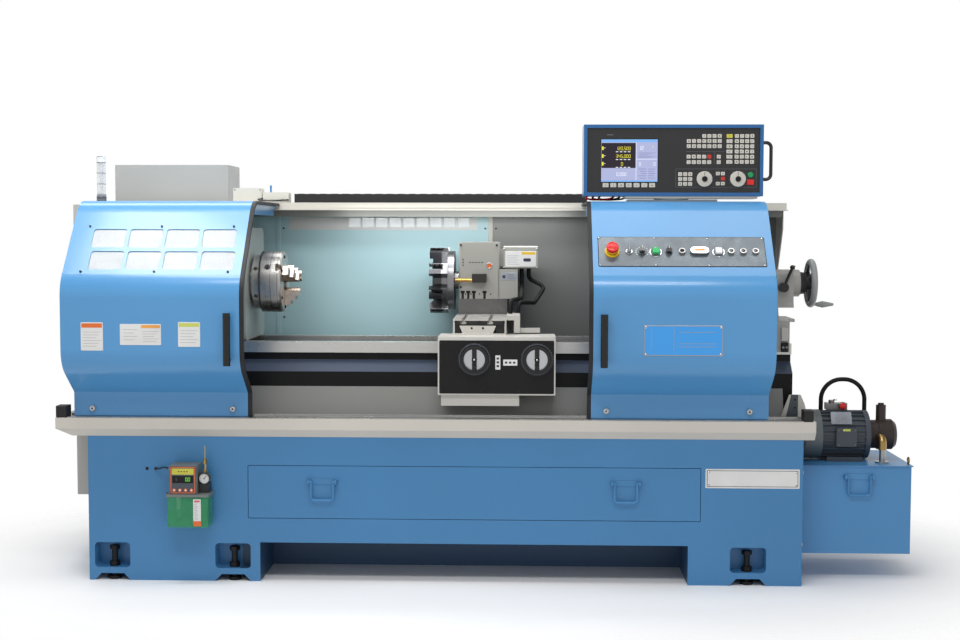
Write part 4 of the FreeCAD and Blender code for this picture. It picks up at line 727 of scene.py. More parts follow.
def dress_hydraulics():
    dress("coolant_tank", tank_blue)
    motor = Finish("motor_finish", shade(64, 72, 80), 0.42)
    motor.zone(motor.within(y=(motor_low.y + 115, None), z=(motor_high.z - 40, None)),
               shade(140, 140, 140), 0.35, 0.8)
    motor.zone(motor.within(x=(None, motor_low.x + 70)), shade(96, 104, 106), 0.42)
    dress("pump_motor", motor.done(drift=0.06, relief=0.12, grain=300.0, soften=1.0))
    pump = Finish("pump_finish", shade(46, 35, 31), 0.45)
    pump.zone(pump.within(y=(None, pump_low.y + 46)), shade(176, 146, 94), 0.32, 1.0)
    pump.zone(pump.within(y=(None, pump_low.y + 46), z=(None, 511)), shade(176, 176, 174), 0.3, 1.0)
    dress("hydraulic_pump", pump.done(drift=0.08, relief=0.15, grain=280.0, soften=1.0))
    dress("pump_hose", rubber)
    body = Finish("lube_body", shade(112, 118, 116), 0.42)
    body.zone(body.within(x=(lube_high.x - 48, None), z=(363, 402)), shade(36, 36, 38), 0.4)
    body.zone(body.within(x=(lube_low.x + 139, None), z=(402, None)), shade(186, 170, 130), 0.3, 1.0)
    dress("lube_pump", body.done(drift=0.05, relief=0.08, soften=1.0))
    jar = glass("jar_green", shade(70, 170, 120), 0.42, 0.08, 0.06)
    dress("lube_reservoir", jar)


# ---- Sliding guards: plates, screws, track bolts ----

def blank_plate(name, body, x0, x1, z0, z1, band, band_from=0.0, rules=4):
    """A bare information plate: a plain colour band and plain rules."""
    plate = Piece(name, body, front(front_y))
    plate.slab(x0, x1, z0, z1, 0, 0.8, plate_white, 3.0, 0.3)
    tall = z1 - z0
    start = x0 + (x1 - x0) * band_from
    plate.slab(start + 3, x1 - 3, z1 - tall * 0.19, z1 - 4, 0.8, 1.0, band, 1.0, 0.0)
    for i in range(rules):
        z = z1 - tall * (0.34 + 0.6 * i / rules)
        plate.slab(start + 8, x1 - 8 - (i % 3) * 9, z - 1.2, z, 0.8, 0.95, plate_rule, 0.4, 0.0)
    return plate


def guard_details():
    blank_plate("left_plate_a", "left_guard", 21, 107, 926, 1035, plate_orange, rules=6).done()
    wide = blank_plate("left_plate_b", "left_guard", 173, 332, 948, 1029, plate_amber, 0.5, rules=5)
    for i in range(4):
        z = 1008 - 13 * i
        wide.slab(185, 240 - (i % 2) * 12, z - 1.2, z, 0.8, 0.95, plate_rule, 0.4, 0.0)
    wide.done()
    blank_plate("left_plate_c", "left_guard", 398, 483, 942, 1037, plate_lime, rules=5).done()
    emblem = Piece("right_plate", "right_guard", front(front_y))
    emblem.slab(2179, 2479, 915, 1032, 0, 1.0, plate_silver, 4.0, 0.4)
    emblem.slab(2183, 2475, 919, 1028, 1.0, 1.5, plate_blue, 3.0, 0.2)
    for u0, u1 in ((2207, 2209), (2292, 2294)):
        emblem.slab(u0, u1, 936, 1018, 1.5, 1.7, plate_silver, 0.5, 0.0)
    for z in (950, 962, 1006):
        emblem.slab(2312, 2452, z - 1, z + 1, 1.5, 1.7, plate_silver, 0.5, 0.0)
    emblem.screws((2187, 2471), (923, 1024), 1.4, 4.2, chrome)
    emblem.done()
    frame_screws = Piece("window_screws", "left_guard", slanted())
    for s, xs in ((135, (8, 294, 580)), (361, (12, 298, 584))):
        for x in xs:
            frame_screws.socket_screw(x, s, 0, 4.5, dark_iron)
    frame_screws.done()
    right_door_x = span("right_door_trim")[0].x
    for side, body, low in (("left", "left_guard", left_low.x), ("right", "right_guard", right_door_x)):
        heads = Piece(side + "_track_bolts", body, front(span(side + "_door_rollers")[0].y))
        for x in (low + 75, low + 634):
            heads.ring(x, 684.3, -3, 1.5, 11.5, 7, steel, 24)
            heads.socket_screw(x, 684.3, 0, 7.5, chrome)
        heads.done("bright_steel")


# ---- Control panel on the right guard ----

emergency_x = 2063
key_switch_x = 2128
rate_x = 2178
green_x = 2230
selector_x = 2281
white_x = 2471
controls_s = 259.0


def panel_details():
    s = controls_s
    panel = Piece("panel_fittings", "right_guard", slanted())
    panel.screws((2016, 2230, 2434, 2644), (191, 323), 2.4, 4.5, chrome)
    panel.ring(emergency_x, s, 2.5, 8.5, 29, 20.8, yellow_plastic, 40)
    panel.ring(key_switch_x, s, 2.5, 7.5, 13, 7, chrome)
    panel.disc(key_switch_x, s, 5, 13, 7, iron)
    panel.tube([(key_switch_x, s, 12), (key_switch_x, s - 9, 30)], 3.2, chrome)
    angles = [math.radians(24 * i - 210) for i in range(11)]
    panel.ticks(rate_x, s, 24, angles, 2, 2.4, 2.9, plate_white, 1.0)
    for x in (2331, 2519, 2565, 2612):
        panel.ring(x, s, 2.5, 12.5, 13, 8, steel)
        panel.turn(x, s, [(8.5, 6), (8.5, 12), (6, 14.5), (2, 15.5)], matt_black if x < 2400 else iron, 20)
    panel.slab(2362, 2434, s - 16, s + 16, 13.5, 16, chrome, 14, 1.0)
    panel.slab(2370, 2426, s - 9, s + 9, 15.5, 16.5, plate_white, 3, 0.3)
    panel.slab(2381, 2415, s - 4, s + 2, 16.5, 16.8, plate_amber, 1, 0.0)
    for x in (green_x, white_x):
        panel.ring(x, s, 2.5, 3.5, 24, 20, chrome)
    panel.done("bright_steel")
    rim = Piece("panel_gasket", "right_guard", slanted())
    rim.slab(2008.5, 2651.5, 183.5, 330.5, 0.0, 1.0, matt_black, 6, 0.2)
    rim.done()
    cap = Piece("emergency_cap", "emergency_button", slanted())
    mushroom = [(14, 20), (23, 24), (24, 32), (22.5, 36), (16, 38.6), (6, 39.6)]
    cap.turn(emergency_x, s, mushroom, red_plastic, 40)
    cap.turn(emergency_x, s, [(20, 9.5), (20, 19), (14, 22)], yellow_plastic, 40)
    cap.done("red_plastic")
    for x, body, finish in ((green_x, "green_button", green_lit), (white_x, "white_button", white_lit)):
        lens = Piece(body + "_lens", body, slanted())
        lens.slab(x - 11.5, x + 11.5, s - 11.5, s + 11.5, 15.5, 16.6, finish, 2.5, 0.8)
        lens.done()
    knob = Piece("selector_pointer", "selector_knob", slanted())
    knob.slab(selector_x - 1.2, selector_x + 1.2, s - 15, s - 4, 22.5, 23.6, plate_white, 0.6, 0.2)
    knob.done()
    knob = Piece("rate_pointer", "rate_knob", slanted())
    knob.slab(rate_x - 1.0, rate_x + 1.0, s - 14, s - 3, 26.6, 27.4, plate_white, 0.6, 0.2)
    knob.done()


# ---- Control head: screen, keys, dials ----

key_w = 16.0
key_pitch = 20.5
dial_us = (482, 615)
dial_v = 217


def key(face, u, v, finish=None, wide=key_w, tall=15.0, mark=0):
    """A flat key with a plain mark on it."""
    face.slab(u, u + wide, v, v + tall, 0, 2.2, finish or key_grey, 2.0, 0.6)
    cu, cv = u + wide / 2, v + tall / 2
    if mark % 4 == 0:
        face.slab(cu - 2.5, cu + 2.5, cv - 0.8, cv + 0.8, 2.2, 2.35, key_ink, 0.4, 0.0)
    elif mark % 4 == 1:
        face.slab(cu - 0.8, cu + 0.8, cv - 3, cv + 3, 2.2, 2.35, key_ink, 0.4, 0.0)
    elif mark % 4 == 2:
        face.slab(cu - 2.4, cu + 2.4, cv - 2.4, cv + 2.4, 2.2, 2.3, key_ink, 0.8, 0.0)
    else:
        face.slab(cu - 3.5, cu - 0.6, cv - 2.2, cv + 2.2, 2.2, 2.3, key_ink, 0.8, 0.0)


def keys(face, u, v, columns, rows, pitch_u=key_pitch, pitch_v=key_pitch, special=None, seed=0):
    for row in range(rows):
        for column in range(columns):
            finish = (special or {}).get((column, row))
            key(face, u + column * pitch_u, v + row * pitch_v, finish, mark=column * 3 + row * 5 + seed)


def head_details():
    where = grid((head_low.x, head_low.y + 8, head_high.z), X, -Z, -Y)
    face = Piece("head_keys", "control_head", where)
    for i in range(7):
        key(face, 76 + 31 * i, 233, wide=24, tall=17, mark=i)
    keys(face, 472, 38, 4, 1, seed=1)
    keys(face, 411, 58, 7, 2, seed=2)
    keys(face, 411, 120, 5, 2, pitch_v=22, special={(4, 0): key_red}, seed=3)
    keys(face, 531, 120, 1, 2, pitch_v=22)
    for row in range(6):
        key(face, 569, 38 + row * 20.6, key_yellow if row == 0 else None, wide=24, mark=row)
    keys(face, 602, 38, 4, 6, pitch_u=20.4, pitch_v=20.6, seed=5)
    keys(face, 378, 190, 3, 3, pitch_u=20, pitch_v=19.5, seed=4)
    for u, v, finish in ((528, 188, None), (548, 188, None), (548, 208, key_red),
                         (528, 228, None), (548, 228, None)):
        key(face, u, v, finish, 16, 14, mark=int(u))
    face.disc(666, 200, 0, 5, 11, green_plastic, 1.5)
    face.slab(652, 680, 219, 240, 0, 4, red_plastic, 2.5, 1.2)
    for u0, u1 in ((368, 577), (576, 690)):
        face.border(u0, u1, 176, 250, 1, 0.0, 0.3, line_grey, 0.4)
    face.slab(408, 560, 107, 108, 0, 0.3, line_grey, 0.4, 0.0)
    face.slab(521, 522, 108, 158, 0, 0.3, line_grey, 0.4, 0.0)
    for u in dial_us:
        angles = [math.radians(90 + 300 * i / 14) for i in range(15)]
        face.ticks(u, dial_v, 37, angles, 1, 0, 0.3, line_grey, 0.5)
    face.slab(92, 118, 39, 42, 0, 0.3, line_grey, 0.6, 0.0)
    face.done("grey_plastic")

    screen = Piece("head_screen", "control_head", where)
    screen.ring(182.5, 143.5, 0, 0.4, 4, 2, line_grey, 12)
    lit, read = (1.3, 1.5), (1.5, 1.7)
    screen.slab(66, 299, 55, 232, 0, 1.0, hole_shade_and_bezel_black, 4, 0.4)
    screen.slab(70, 295, 59, 228, 1.0, 1.3, screen_pale, 1, 0.0)
    screen.slab(70, 295, 59, 70, *lit, screen_bar, 0.5, 0.0)
    screen.slab(70, 295, 222, 228, *lit, screen_bar, 0.5, 0.0)
    screen.slab(71, 208, 73, 173, *lit, screen_dark, 0.5, 0.0)
    screen.slab(210, 293, 137, 138.5, *lit, screen_ink, 0.5, 0.0)
    screen.slab(208.5, 210, 71, 221, *lit, screen_ink, 0.5, 0.0)
    for i, text in enumerate(("120.500", "345.000", "0")):
        v = 101 + 31 * i
        screen.slab(73, 79, v - 14, v, *read, screen_yellow, 1.0, 0.0)
        screen.slab(81, 86, v - 9, v - 7, *read, screen_ink, 0.5, 0.0)
        screen.digits(text, 130 if len(text) > 1 else 150, v, 12, *read, screen_yellow, -1)
        for k in range(4):
            screen.slab(128 + 16 * k, 138 + 16 * k, v + 6, v + 8.5, *read, screen_ink, 0.5, 0.0)
    for text, u, v, size, finish in (("0.000", 132, 204, 12, screen_ink), ("12", 220, 100, 14, screen_ink),
                                     ("1", 270, 94, 11, screen_yellow), ("0", 222, 163, 12, screen_ink),
                                     ("0", 280, 163, 12, screen_ink)):
        screen.digits(text, u, v, size, 1.3, 1.6, finish, -1)
    for i in range(5):
        v, w = 112 + 4.6 * i, 176 + 9 * i
        for u0, u1, v0, v1 in ((218 + 4 * (i % 2), 286 - 14 * (i % 3), v, 113.4 + 4.6 * i),
                               (218 + 6 * (i % 3), 250, w, w + 2), (258, 286 - 5 * (i % 2), w, w + 2)):
            screen.slab(u0, u1, v0, v1, *lit, screen_grey, 0.4, 0.0)
    screen.done()

    for side, u in zip(("left", "right"), dial_us):
        dial = Piece("dial_" + side, "override_knob_" + side, where)
        dial.turn(u, dial_v, [(30.5, 0.6), (31.5, 4), (31, 13), (28.5, 15.6), (12, 16)], key_grey, 48)
        for angle in turns(18):
            dial.disc(u + 31 * math.cos(angle), dial_v + 31 * math.sin(angle), 3, 12, 1.6, line_grey, 0.4, 8)
        dial.disc(u, dial_v, 14, 20.8, 11, matt_black, 1.0)
        dial.slab(u - 1, u + 1, 190, 203, 15.8, 16.3, key_ink, 0.5, 0.1)
        dial.done("grey_plastic")
    cables = Piece("head_cables", "control_head", free())
    z = head_high.z - head_h
    for i, finish in enumerate((red_plastic, black_plastic, black_plastic)):
        x, y = head_low.x + 18 + 26 * i, head_low.y + 60 + 14 * i
        loop = ((0, 0, 2), (-4, 4, -8), (22, 10, -13), (60, 26, -12), (96, 40, -8), (112, 46, 3))
        cables.tube(smooth([(x + a, y + b, z + c) for a, b, c in loop]), 4.0, finish)
    cables.done()


# ---- Base: plate, bail rivets, lubricator, tank and pump ----

def base_details():
    plate = Piece("base_plate", "frame", front(base_low.y))
    plate.slab(2435, 2801, 386, 462, 0, 1.6, plate_white, 3, 0.5)
    plate.border(2441, 2795, 392, 456, 2, 1.6, 1.8, plate_ink, 0.5)
    plate.screws((2448, 2788), (399, 449), 1.5, 4.5, chrome)
    plate.done()
    for node, body in (("drawer_bail_left", "drawer"), ("drawer_bail_right", "drawer"),
                       ("tank_bail", "frame")):
        low, high = span(node)
        middle = (low.x + high.x) / 2
        rivets = Piece(node + "_rivets", body, front(high.y + 2.5))
        for side in (-1, 1):
            rivets.disc(middle + side * 60, high.z - 5.5, -1, 2.2, 3.6, base_blue, 1.0, 14)
        rivets.done()
    bolts = Piece("tank_bolts", "frame", front(tank_low.y + 20))
    for z in (430, 140):
        bolts.ring(base_high.x + 16, z, -1, 2.5, 11, 6, steel, 20)
        bolts.disc(base_high.x + 16, z, 2, 8.5, 8, steel, 1.0, 6)
    bolts.done()
    clips = Piece("wall_clips", "frame", front(base_low.y))
    for x in (lube_low.x - 96, lube_low.x - 62):
        clips.ring(x, 448, 0, 3, 6, 3, black_plastic, 16)
        clips.disc(x, 448, 0, 1, 3.2, hole_shade_and_bezel_black, 0.1, 12)
    clips.done()


def lubricator():
    x = lube_low.x - 12
    face_y = lube_low.y + 6
    face = Piece("lubricator_face", "frame", front(face_y))
    left, right, low, high = x + 29, x + 131, 364, 473
    face.slab(left, right, low, high, 0, 1.0, motor_grey, 3, 0.4)
    face.border(left + 3, right - 3, low + 3, high - 3, 3, 1.0, 1.4, orange_plastic, 0.8, 0.1)
    face.slab(left + 8, right - 8, high - 33, high - 9, 1.0, 1.6, key_yellow, 1.5, 0.2)
    for i in range(4):
        u = left + 32 + 11 * i
        face.slab(u, u + 6, high - 23, high - 19, 1.6, 1.8, matt_black, 1.8, 0.0)
    face.slab(left + 10, right - 10, high - 66, high - 38, 1.0, 1.6, matt_black, 1.5, 0.2)
    face.digits("00", left + 62, high - 58, 13, 1.6, 1.9, led_green, 1)
    face.digits("8", left + 24, high - 56, 8, 1.6, 1.8, line_grey, 1)
    for i in range(4):
        face.disc(left + 17 + 22.5 * i, low + 15, 1.0, 3.2, 6.5, orange_plastic, 1.2, 20)
        face.disc(left + 17 + 22.5 * i, low + 15, 3.0, 3.6, 3.6, plate_white, 0.3, 16)
    face.done()
    gauge_y = -60.0
    gauge = Piece("lubricator_gauge", "frame", front(gauge_y))
    gx, gz = x + 157, 420
    gauge.ring(gx, gz, 0, 5, 24, 19.5, black_plastic, 36)
    gauge.disc(gx, gz, 0, 1.2, 20, plate_white, 0.2, 32)
    angles = [math.radians(225 - 22.5 * i) for i in range(13)]
    gauge.ticks(gx, gz, 16, angles, 0.9, 1.2, 1.5, plate_ink, 0.4)
    gauge.tube([(gx - 3, gz - 2, 2.2), (gx + 9, gz + 10, 2.2)], 0.9, matt_black, 6)
    gauge.disc(gx, gz, 1, 3.4, 2.4, matt_black, 0.5, 12)
    gauge.done()
    fittings = Piece("lubricator_fittings", "frame", free())
    line_x = x + 157
    for low, high, radius in ((476, 486, 9), (486, 497, 7), (440, 452, 8)):
        ends = [circle(Vector((line_x, -45, level)), X, Y, radius, 6) for level in (low, high)]
        fittings.stack(ends, brass)
    lead = [(x + 26, -40, 452), (x + 12, -40, 456), (x - 10, -32, 458), (x - 30, -16, 450), (x - 49, -3, 448)]
    fittings.tube(smooth(lead), 3.2, black_plastic, 10)
    fittings.tube([(x + 27, -40, 452), (x + 14, -40, 455)], 6.0, plate_white, 16)
    fittings.tube([(x + 20, -44, 357), (x + 4, -44, 357)], 5.0, black_plastic, 14)
    fittings.done()
    jar = Piece("lubricator_contents", "frame", front(jar_low.y + 4))
    a, b, c, d = jar_low.x + 4, jar_high.x - 4, jar_low.z + 4, jar_high.z
    level = c + (d - c) * 0.55
    jar.slab(a, b, c, level, -76, 0, glass("lubricant", shade(24, 104, 44), 0.72, 0.1, 0.05), 7, 0.6)
    jar.disc(a + 36, c + 22, -40, -18, 11, matt_black, 1.0, 20)
    jar.tube([(a + 36, c + 20, -30), (a + 36, d - 2, -30)], 8.5, plate_white, 16)
    jar.tube([(a + 88, level - 22, -38), (a + 88, d - 1, -38)], 15, matt_black, 20)
    jar.tube([(a + 88, c + 12, -38), (a + 88, level - 22, -38)], 21, dark_iron, 20)
    jar.done()
    strip = Piece("lubricator_level", "frame", front(jar_low.y))
    strip.slab(b - 54, b - 24, c + 22, d - 8, 0, 0.6, plate_white, 2, 0.2)
    strip.slab(b - 54, b - 24, c + 2, c + 22, 0, 0.7, orange_plastic, 2, 0.2)
    strip.slab(b - 50, b - 28, d - 18, d - 13, 0.6, 0.9, red_plastic, 1, 0.1)
    for i in range(9):
        v = c + 30 + 8 * i
        strip.slab(b - 49, b - 36 - 5 * (i % 2), v, v + 1.2, 0.6, 0.8, plate_ink, 0.4, 0.0)
    strip.done()


def hydraulics():
    mid_y = motor_low.y + 108
    motor_z = motor_low.z + 102
    extra = Piece("motor_fittings", "frame", free())
    x0 = motor_low.x
    for side in (-1, 1):
        for x in (x0 + 129, x0 + 195):
            z = motor_z + side * 30
            extra.tube([(x, motor_low.y - 0.5, z), (x, motor_low.y - 3.5, z)], 4.0, iron, 12)
    x, y = x0 + 145, mid_y + 38
    extra.tube([(x, y, motor_high.z - 2), (x, y, motor_high.z + 4)], 8, chrome, 16)
    extra.done()
    name = Piece("motor_plate", "frame", grid((x0 + 148, mid_y, motor_z), X,
                                             Vector((0, 0.44, 0.898)), Vector((0, -0.898, 0.44))))
    name.slab(-44, 40, 8, 60, 88, 100.5, plate_silver, 2, 0.4)
    name.screws((-40, 36), (12, 56), 100.3, 2.4, steel)
    for i in range(4):
        name.slab(-32, 24 - 8 * (i % 2), 18 + 9 * i, 19.4 + 9 * i, 100.5, 100.7, plate_rule, 0.4, 0.0)
    name.done()
    tag = Piece("terminal_plate", "frame", front(motor_low.y))
    tag.slab(x0 + 147, x0 + 177, motor_z + 25, motor_z + 34, 0, 0.5, plate_lime, 1, 0.1)
    tag.done()
    knob = Piece("valve_knob", "frame", front(mid_y + 6))
    knob.turn(x0 + 168, motor_high.z - 20, [(13, -4), (15, 0), (15, 9), (12, 12), (5, 13)], red_plastic, 24)
    knob.done()
    eye = Piece("lifting_eye", "frame", right_side(tank_high.x - 6))
    hoop = [(13, -6), (15, -3), (13, 0), (8, 0), (7, -3), (8, -6)]
    eye.turn(tank_low.y + 60, tank_high.z + 16, hoop, brass, 28, ends=False)
    eye.slab(tank_low.y + 52, tank_low.y + 68, tank_high.z, tank_high.z + 7, -6, 0, brass, 1.5, 0.4)
    eye.done()


# ---- Chuck, turret, carriage, tailstock ----

def chuck_details():
    face_x = chuck_high.x
    face = Piece("chuck_bolts", "spindle", right_side(face_x))
    for i in range(6):
        angle = math.radians(60 * i + 30 + 8 * (i % 2))
        face.socket_screw(axis_y + 104 * math.cos(angle), axis_z + 104 * math.sin(angle), -2, 6.5, dark_iron)
    face.ring(axis_y, axis_z, -4, 0.6, 46, 38, steel, 40)
    for radius in (62, 88, 112):
        face.ring(axis_y, axis_z, -4, 0.15, radius + 0.8, radius - 0.8, dark_iron, 60)
    face.done("bright_steel")
    sockets = Piece("chuck_sockets", "spindle", free())
    body_x = chuck_low.x + 65
    socket_r = 11.5
    groove_out, groove_in = 126.7, 122
    for i in range(3):
        angle = math.radians(120 * i + 30)
        across = Vector((0, math.cos(angle), math.sin(angle)))
        along = Vector((0, -math.sin(angle), math.cos(angle)))
        centre = Vector((body_x, axis_y, axis_z))
        sockets.stack([circle(centre + across * level, X, along, socket_r, 24) for level in (112, 121)], iron)
        square = [X * u + along * v for u, v in ((5, 5), (-5, 5), (-5, -5), (5, -5))]
        sockets.stack([[centre + across * level + p for p in square] for level in (118, 122)], hole_shade_and_bezel_black)
    groove = ((-0.7, groove_out), (0.7, groove_out), (0.7, groove_in), (-0.7, groove_in))
    for x in (chuck_low.x + 30, chuck_low.x + 78, chuck_high.x - 14):
        sockets.stack([circle(Vector((x + dx, axis_y, axis_z)), Y, Z, radius, 72) for dx, radius in groove],
                      dark_iron, ends=False)
    sockets.done()
    for number in range(3):
        jaw = Piece(f"jaw_{number + 1}_teeth", f"jaw_{number + 1}", free())
        angle = math.radians(120 * number)
        lower = Vector((0, math.sin(angle), -math.cos(angle)))
        side = X.cross(lower)
        for step, reach in ((27, 96.5), (47, 76.5)):
            for k in range(2):
                centre = Vector((face_x + step + 3.0, axis_y, axis_z)) + lower * (reach - 6 - 7 * k)
                tooth = [side * du + lower * dv
                         for du, dv in ((-18, -1.5), (18, -1.5), (18, 1.5), (-18, 1.5))]
                jaw.stack([[centre + X * dx + p for p in tooth] for dx in (-4, 0.5)], iron)
        jaw.done("bright_steel")


def turret_details():
    y, z = (disc_low.y + disc_high.y) / 2, (disc_low.z + disc_high.z) / 2
    tools = Piece("turret_screws", "turret", free())
    for i in range(8):
        angle = math.radians(45 * i + 22.5)
        across = Vector((0, -math.sin(angle), math.cos(angle)))
        along = Vector((0, math.cos(angle), math.sin(angle)))
        for k in range(3):
            centre = Vector((disc_low.x + 16 + 20 * k, y, z)) + along * 15
            for radius, levels, finish, sides in ((5.5, (138, 142.5), dark_iron, 16),
                                                  (2.8, (146, 143), hole_shade_and_bezel_black, 6)):
                tools.stack([circle(centre + across * w, X, along, radius, sides) for w in levels], finish)
        centre = Vector((disc_low.x, y, z)) + across * 128 + along * (-6)
        shank = ((-12, -14), (6, -14), (6, 8), (-12, 8))
        tools.stack([[centre + X * dx + along * du + across * dv for du, dv in shank]
                     for dx in (0.5, 52)], iron)
    tools.done("cast")
    front_y_house = house_low.y + 30
    marks = Piece("housing_plates", "cross_slide", front(front_y_house))
    hx = house_low.x + 14
    marks.ring(hx + 132, 1240, 0, 3, 13, 10, steel)
    marks.disc(hx + 132, 1240, 0, 2.2, 10.2, orange_plastic, 0.4)
    for u, v in ((20, 1262), (20, 1250), (20, 1238)):
        marks.slab(hx + u - 3, hx + u + 2, v, v + 7, 0, 0.4, plate_ink, 0.8, 0.0)
    for k in range(5):
        marks.slab(hx + 46 + 13 * k, hx + 54 + 13 * k, 1252, 1256, 0, 0.4, plate_ink, 0.8, 0.0)
    for u, v in ((10, 1328), (164, 1328), (10, 1148)):
        marks.socket_screw(hx + u, v, 0, 4.5, dark_iron)
    for u in slot_us:
        marks.slab(hx + u - 5, hx + u + 5, house_low.z + 67, house_low.z + 99, -14, -12.8, hole_shade_and_bezel_black, 1, 0.1)
        marks.slab(hx + u - 9, hx + u + 9, house_low.z + 92, house_low.z + 101, 0, 2.6, matt_black, 2, 0.5)
    for u in (30, 54, 90, 138):
        marks.disc(hx + u, 1118, 0, 0.8, 3.0, hole_shade_and_bezel_black, 0.2, 12)
    marks.done()
    cover = Piece("cover_plate", "cross_slide", front(house_low.y + 40))
    cx = hx + 176
    cover.slab(cx + 24, cx + 156, 1236, 1302, 0, 1.0, plate_white, 3, 0.4)
    cover.slab(cx + 94, cx + 152, 1288, 1299, 1.0, 1.2, yellow_plastic, 1, 0.0)
    for i in range(5):
        v = 1246 + 9 * i
        cover.slab(cx + 34, cx + 84 - 8 * (i % 2), v, v + 1.4, 1.0, 1.2, plate_rule, 0.4, 0.0)
    cover.slab(cx + 102, cx + 134, 1258, 1272, 1.0, 1.2, plate_ink, 4, 0.0)
    cover.screws((cx + 20, cx + 160), (1232, 1312), 0, 3.2, steel)
    cover.done()
    side = Piece("side_plate", "cross_slide", front(front_y_house))
    side.slab(cx + 6, cx + 74, 1178, 1210, 0, 0.8, plate_silver, 2, 0.3)
    for i in range(3):
        side.slab(cx + 34, cx + 68 - 5 * i, 1184 + 8 * i, 1185.4 + 8 * i, 0.8, 1.0, plate_ink, 0.4, 0.0)
    side.slab(cx + 12, cx + 26, 1186, 1200, 0.8, 1.1, plate_ink, 6, 0.0)
    side.done()


def carriage_details():
    y = apron_low.y
    x0, x1 = apron_low.x, apron_high.x
    z0 = apron_low.z + 44
    face = Piece("apron_panel", "carriage", front(y))
    face.slab(x0 + 6, x1 - 6, z0 + 6, 957, 0, 1.6, matt_black, 5, 0.6)
    screw_xs = (x0 + 14, (x0 + x1) / 2 - 60, (x0 + x1) / 2 + 90, x1 - 14)
    face.screws(screw_xs, (z0 + 16, 946), 1.4, 3.6, dark_iron)
    mid = (span("longitudinal_handwheel")[0].x + span("cross_handwheel")[1].x) / 2
    face.slab(mid - 41, mid - 21, 842, 898, 1.6, 2.4, plate_white, 2, 0.3)
    face.slab(mid - 10, mid + 46, 858, 882, 1.6, 2.4, plate_white, 2, 0.3)
    for k in range(3):
        face.slab(mid - 36, mid - 26, 852 + 15 * k, 860 + 15 * k, 2.4, 2.6, plate_ink, 1.5, 0.0)
        face.slab(mid - 3 + 16 * k, mid + 6 + 16 * k, 866, 874, 2.4, 2.6, plate_ink, 1.5, 0.0)
    face.done()
    for node, body in (("longitudinal_handwheel", "longitudinal_wheel"), ("cross_handwheel", "cross_wheel")):
        low, high = span(node)
        x, z = (low.x + high.x) / 2, (low.z + high.z) / 2
        hub = Piece(body + "_hub", body, front(y - 24))
        hub.turn(x, z, [(10, -10), (10, 1), (7, 4), (3, 5)], matt_black, 24)
        hub.screw(x, z, 3.0, 4.2, chrome)
        hub.done()
        scale = Piece(body + "_scale", "carriage", front(y))
        scale.ring(x, z, 1.6, 2.6, 62, 57, motor_grey, 48)
        scale.ticks(x, z, 64, turns(40), 0.8, 1.6, 1.9, plate_rule, 0.5)
        scale.done()
    slide_front = Piece("slide_screws", "cross_slide", front(slide_low.y))
    for x in (slide_low.x + 12, slide_low.x + 108, slide_low.x + 205):
        slide_front.socket_screw(x, slide_high.z - 26, 0, 5.5, dark_iron)
    slide_front.done()
    saddle = Piece("saddle_screws", "carriage", front(slide_low.y))
    for x in (slide_low.x + 76, slide_low.x + 122):
        saddle.disc(x, 995, 0, 1.0, 4.5, hole_shade_and_bezel_black, 0.2, 16)
    saddle.done()


def tail_details():
    x1 = base_high.x
    splash = Piece("splash_plates", "frame", front(120))
    # The middle plate is painted dark grey: painted shade for a face turned away from the light.
    splash.prism([(x1 - 49, 652), (x1 - 2, 652), (x1 - 2, 742), (x1 - 29, 742)], 0, 3, motor_grey)
    splash.prism([(x1 - 2, 652), (x1 + 38, 652), (x1 + 24, 706), (x1 + 8, 742), (x1 - 2, 742)], -1, 4, ivory)
    splash.prism([(x1 - 70, 652), (x1 - 49, 652), (x1 - 29, 742), (x1 - 37, 742)], 1, 4, ivory)
    for z in (690, 722):
        splash.disc(x1 - 14, z, 2.5, 3.6, 4, hole_shade_and_bezel_black, 0.1, 16)
    splash.done()
    clamp = Piece("tail_clamp", "tailstock", front(tail_low.y))
    clamp.slab(x1 - 60, x1 - 34, 950, 1004, -4, 10, ivory, 3, 1.0)
    clamp.slab(x1 - 60, x1 - 32, 906, 944, -4, 12, matt_black, 3, 1.0)
    for x in (x1 - 53, x1 - 39):
        clamp.socket_screw(x, 925, 11.5, 4, steel)
    clamp.done()
    sight = Piece("tail_sight", "tailstock", front(axis_y - 75))
    sight.ring(x1 - 62, axis_z + 28, 0, 3, 13, 9, steel)
    sight.disc(x1 - 62, axis_z + 28, 0, 2, 9.4, green_plastic, 0.4)
    sight.done()
    dial = Piece("tail_dial", "tail_wheel", right_side(wheel_low.x + 50))
    dial.ring(axis_y, axis_z, -26, 2, 47.5, 26, dark_iron, 48)
    dial.ticks(axis_y, axis_z, 44, turns(40), 0.7, 1.5, 2.3, plate_white, 0.4)
    dial.done()
    cup = Piece("oil_cup", "tailstock", top(tail_high.z - 6))
    cup.turn(x1 + 26, axis_y, [(6, -6), (6, 2), (9, 3), (9, 5.5), (5, 6)], matt_black, 20)
    cup.done()


# ---- Rear guard, beam, tower lamp ----

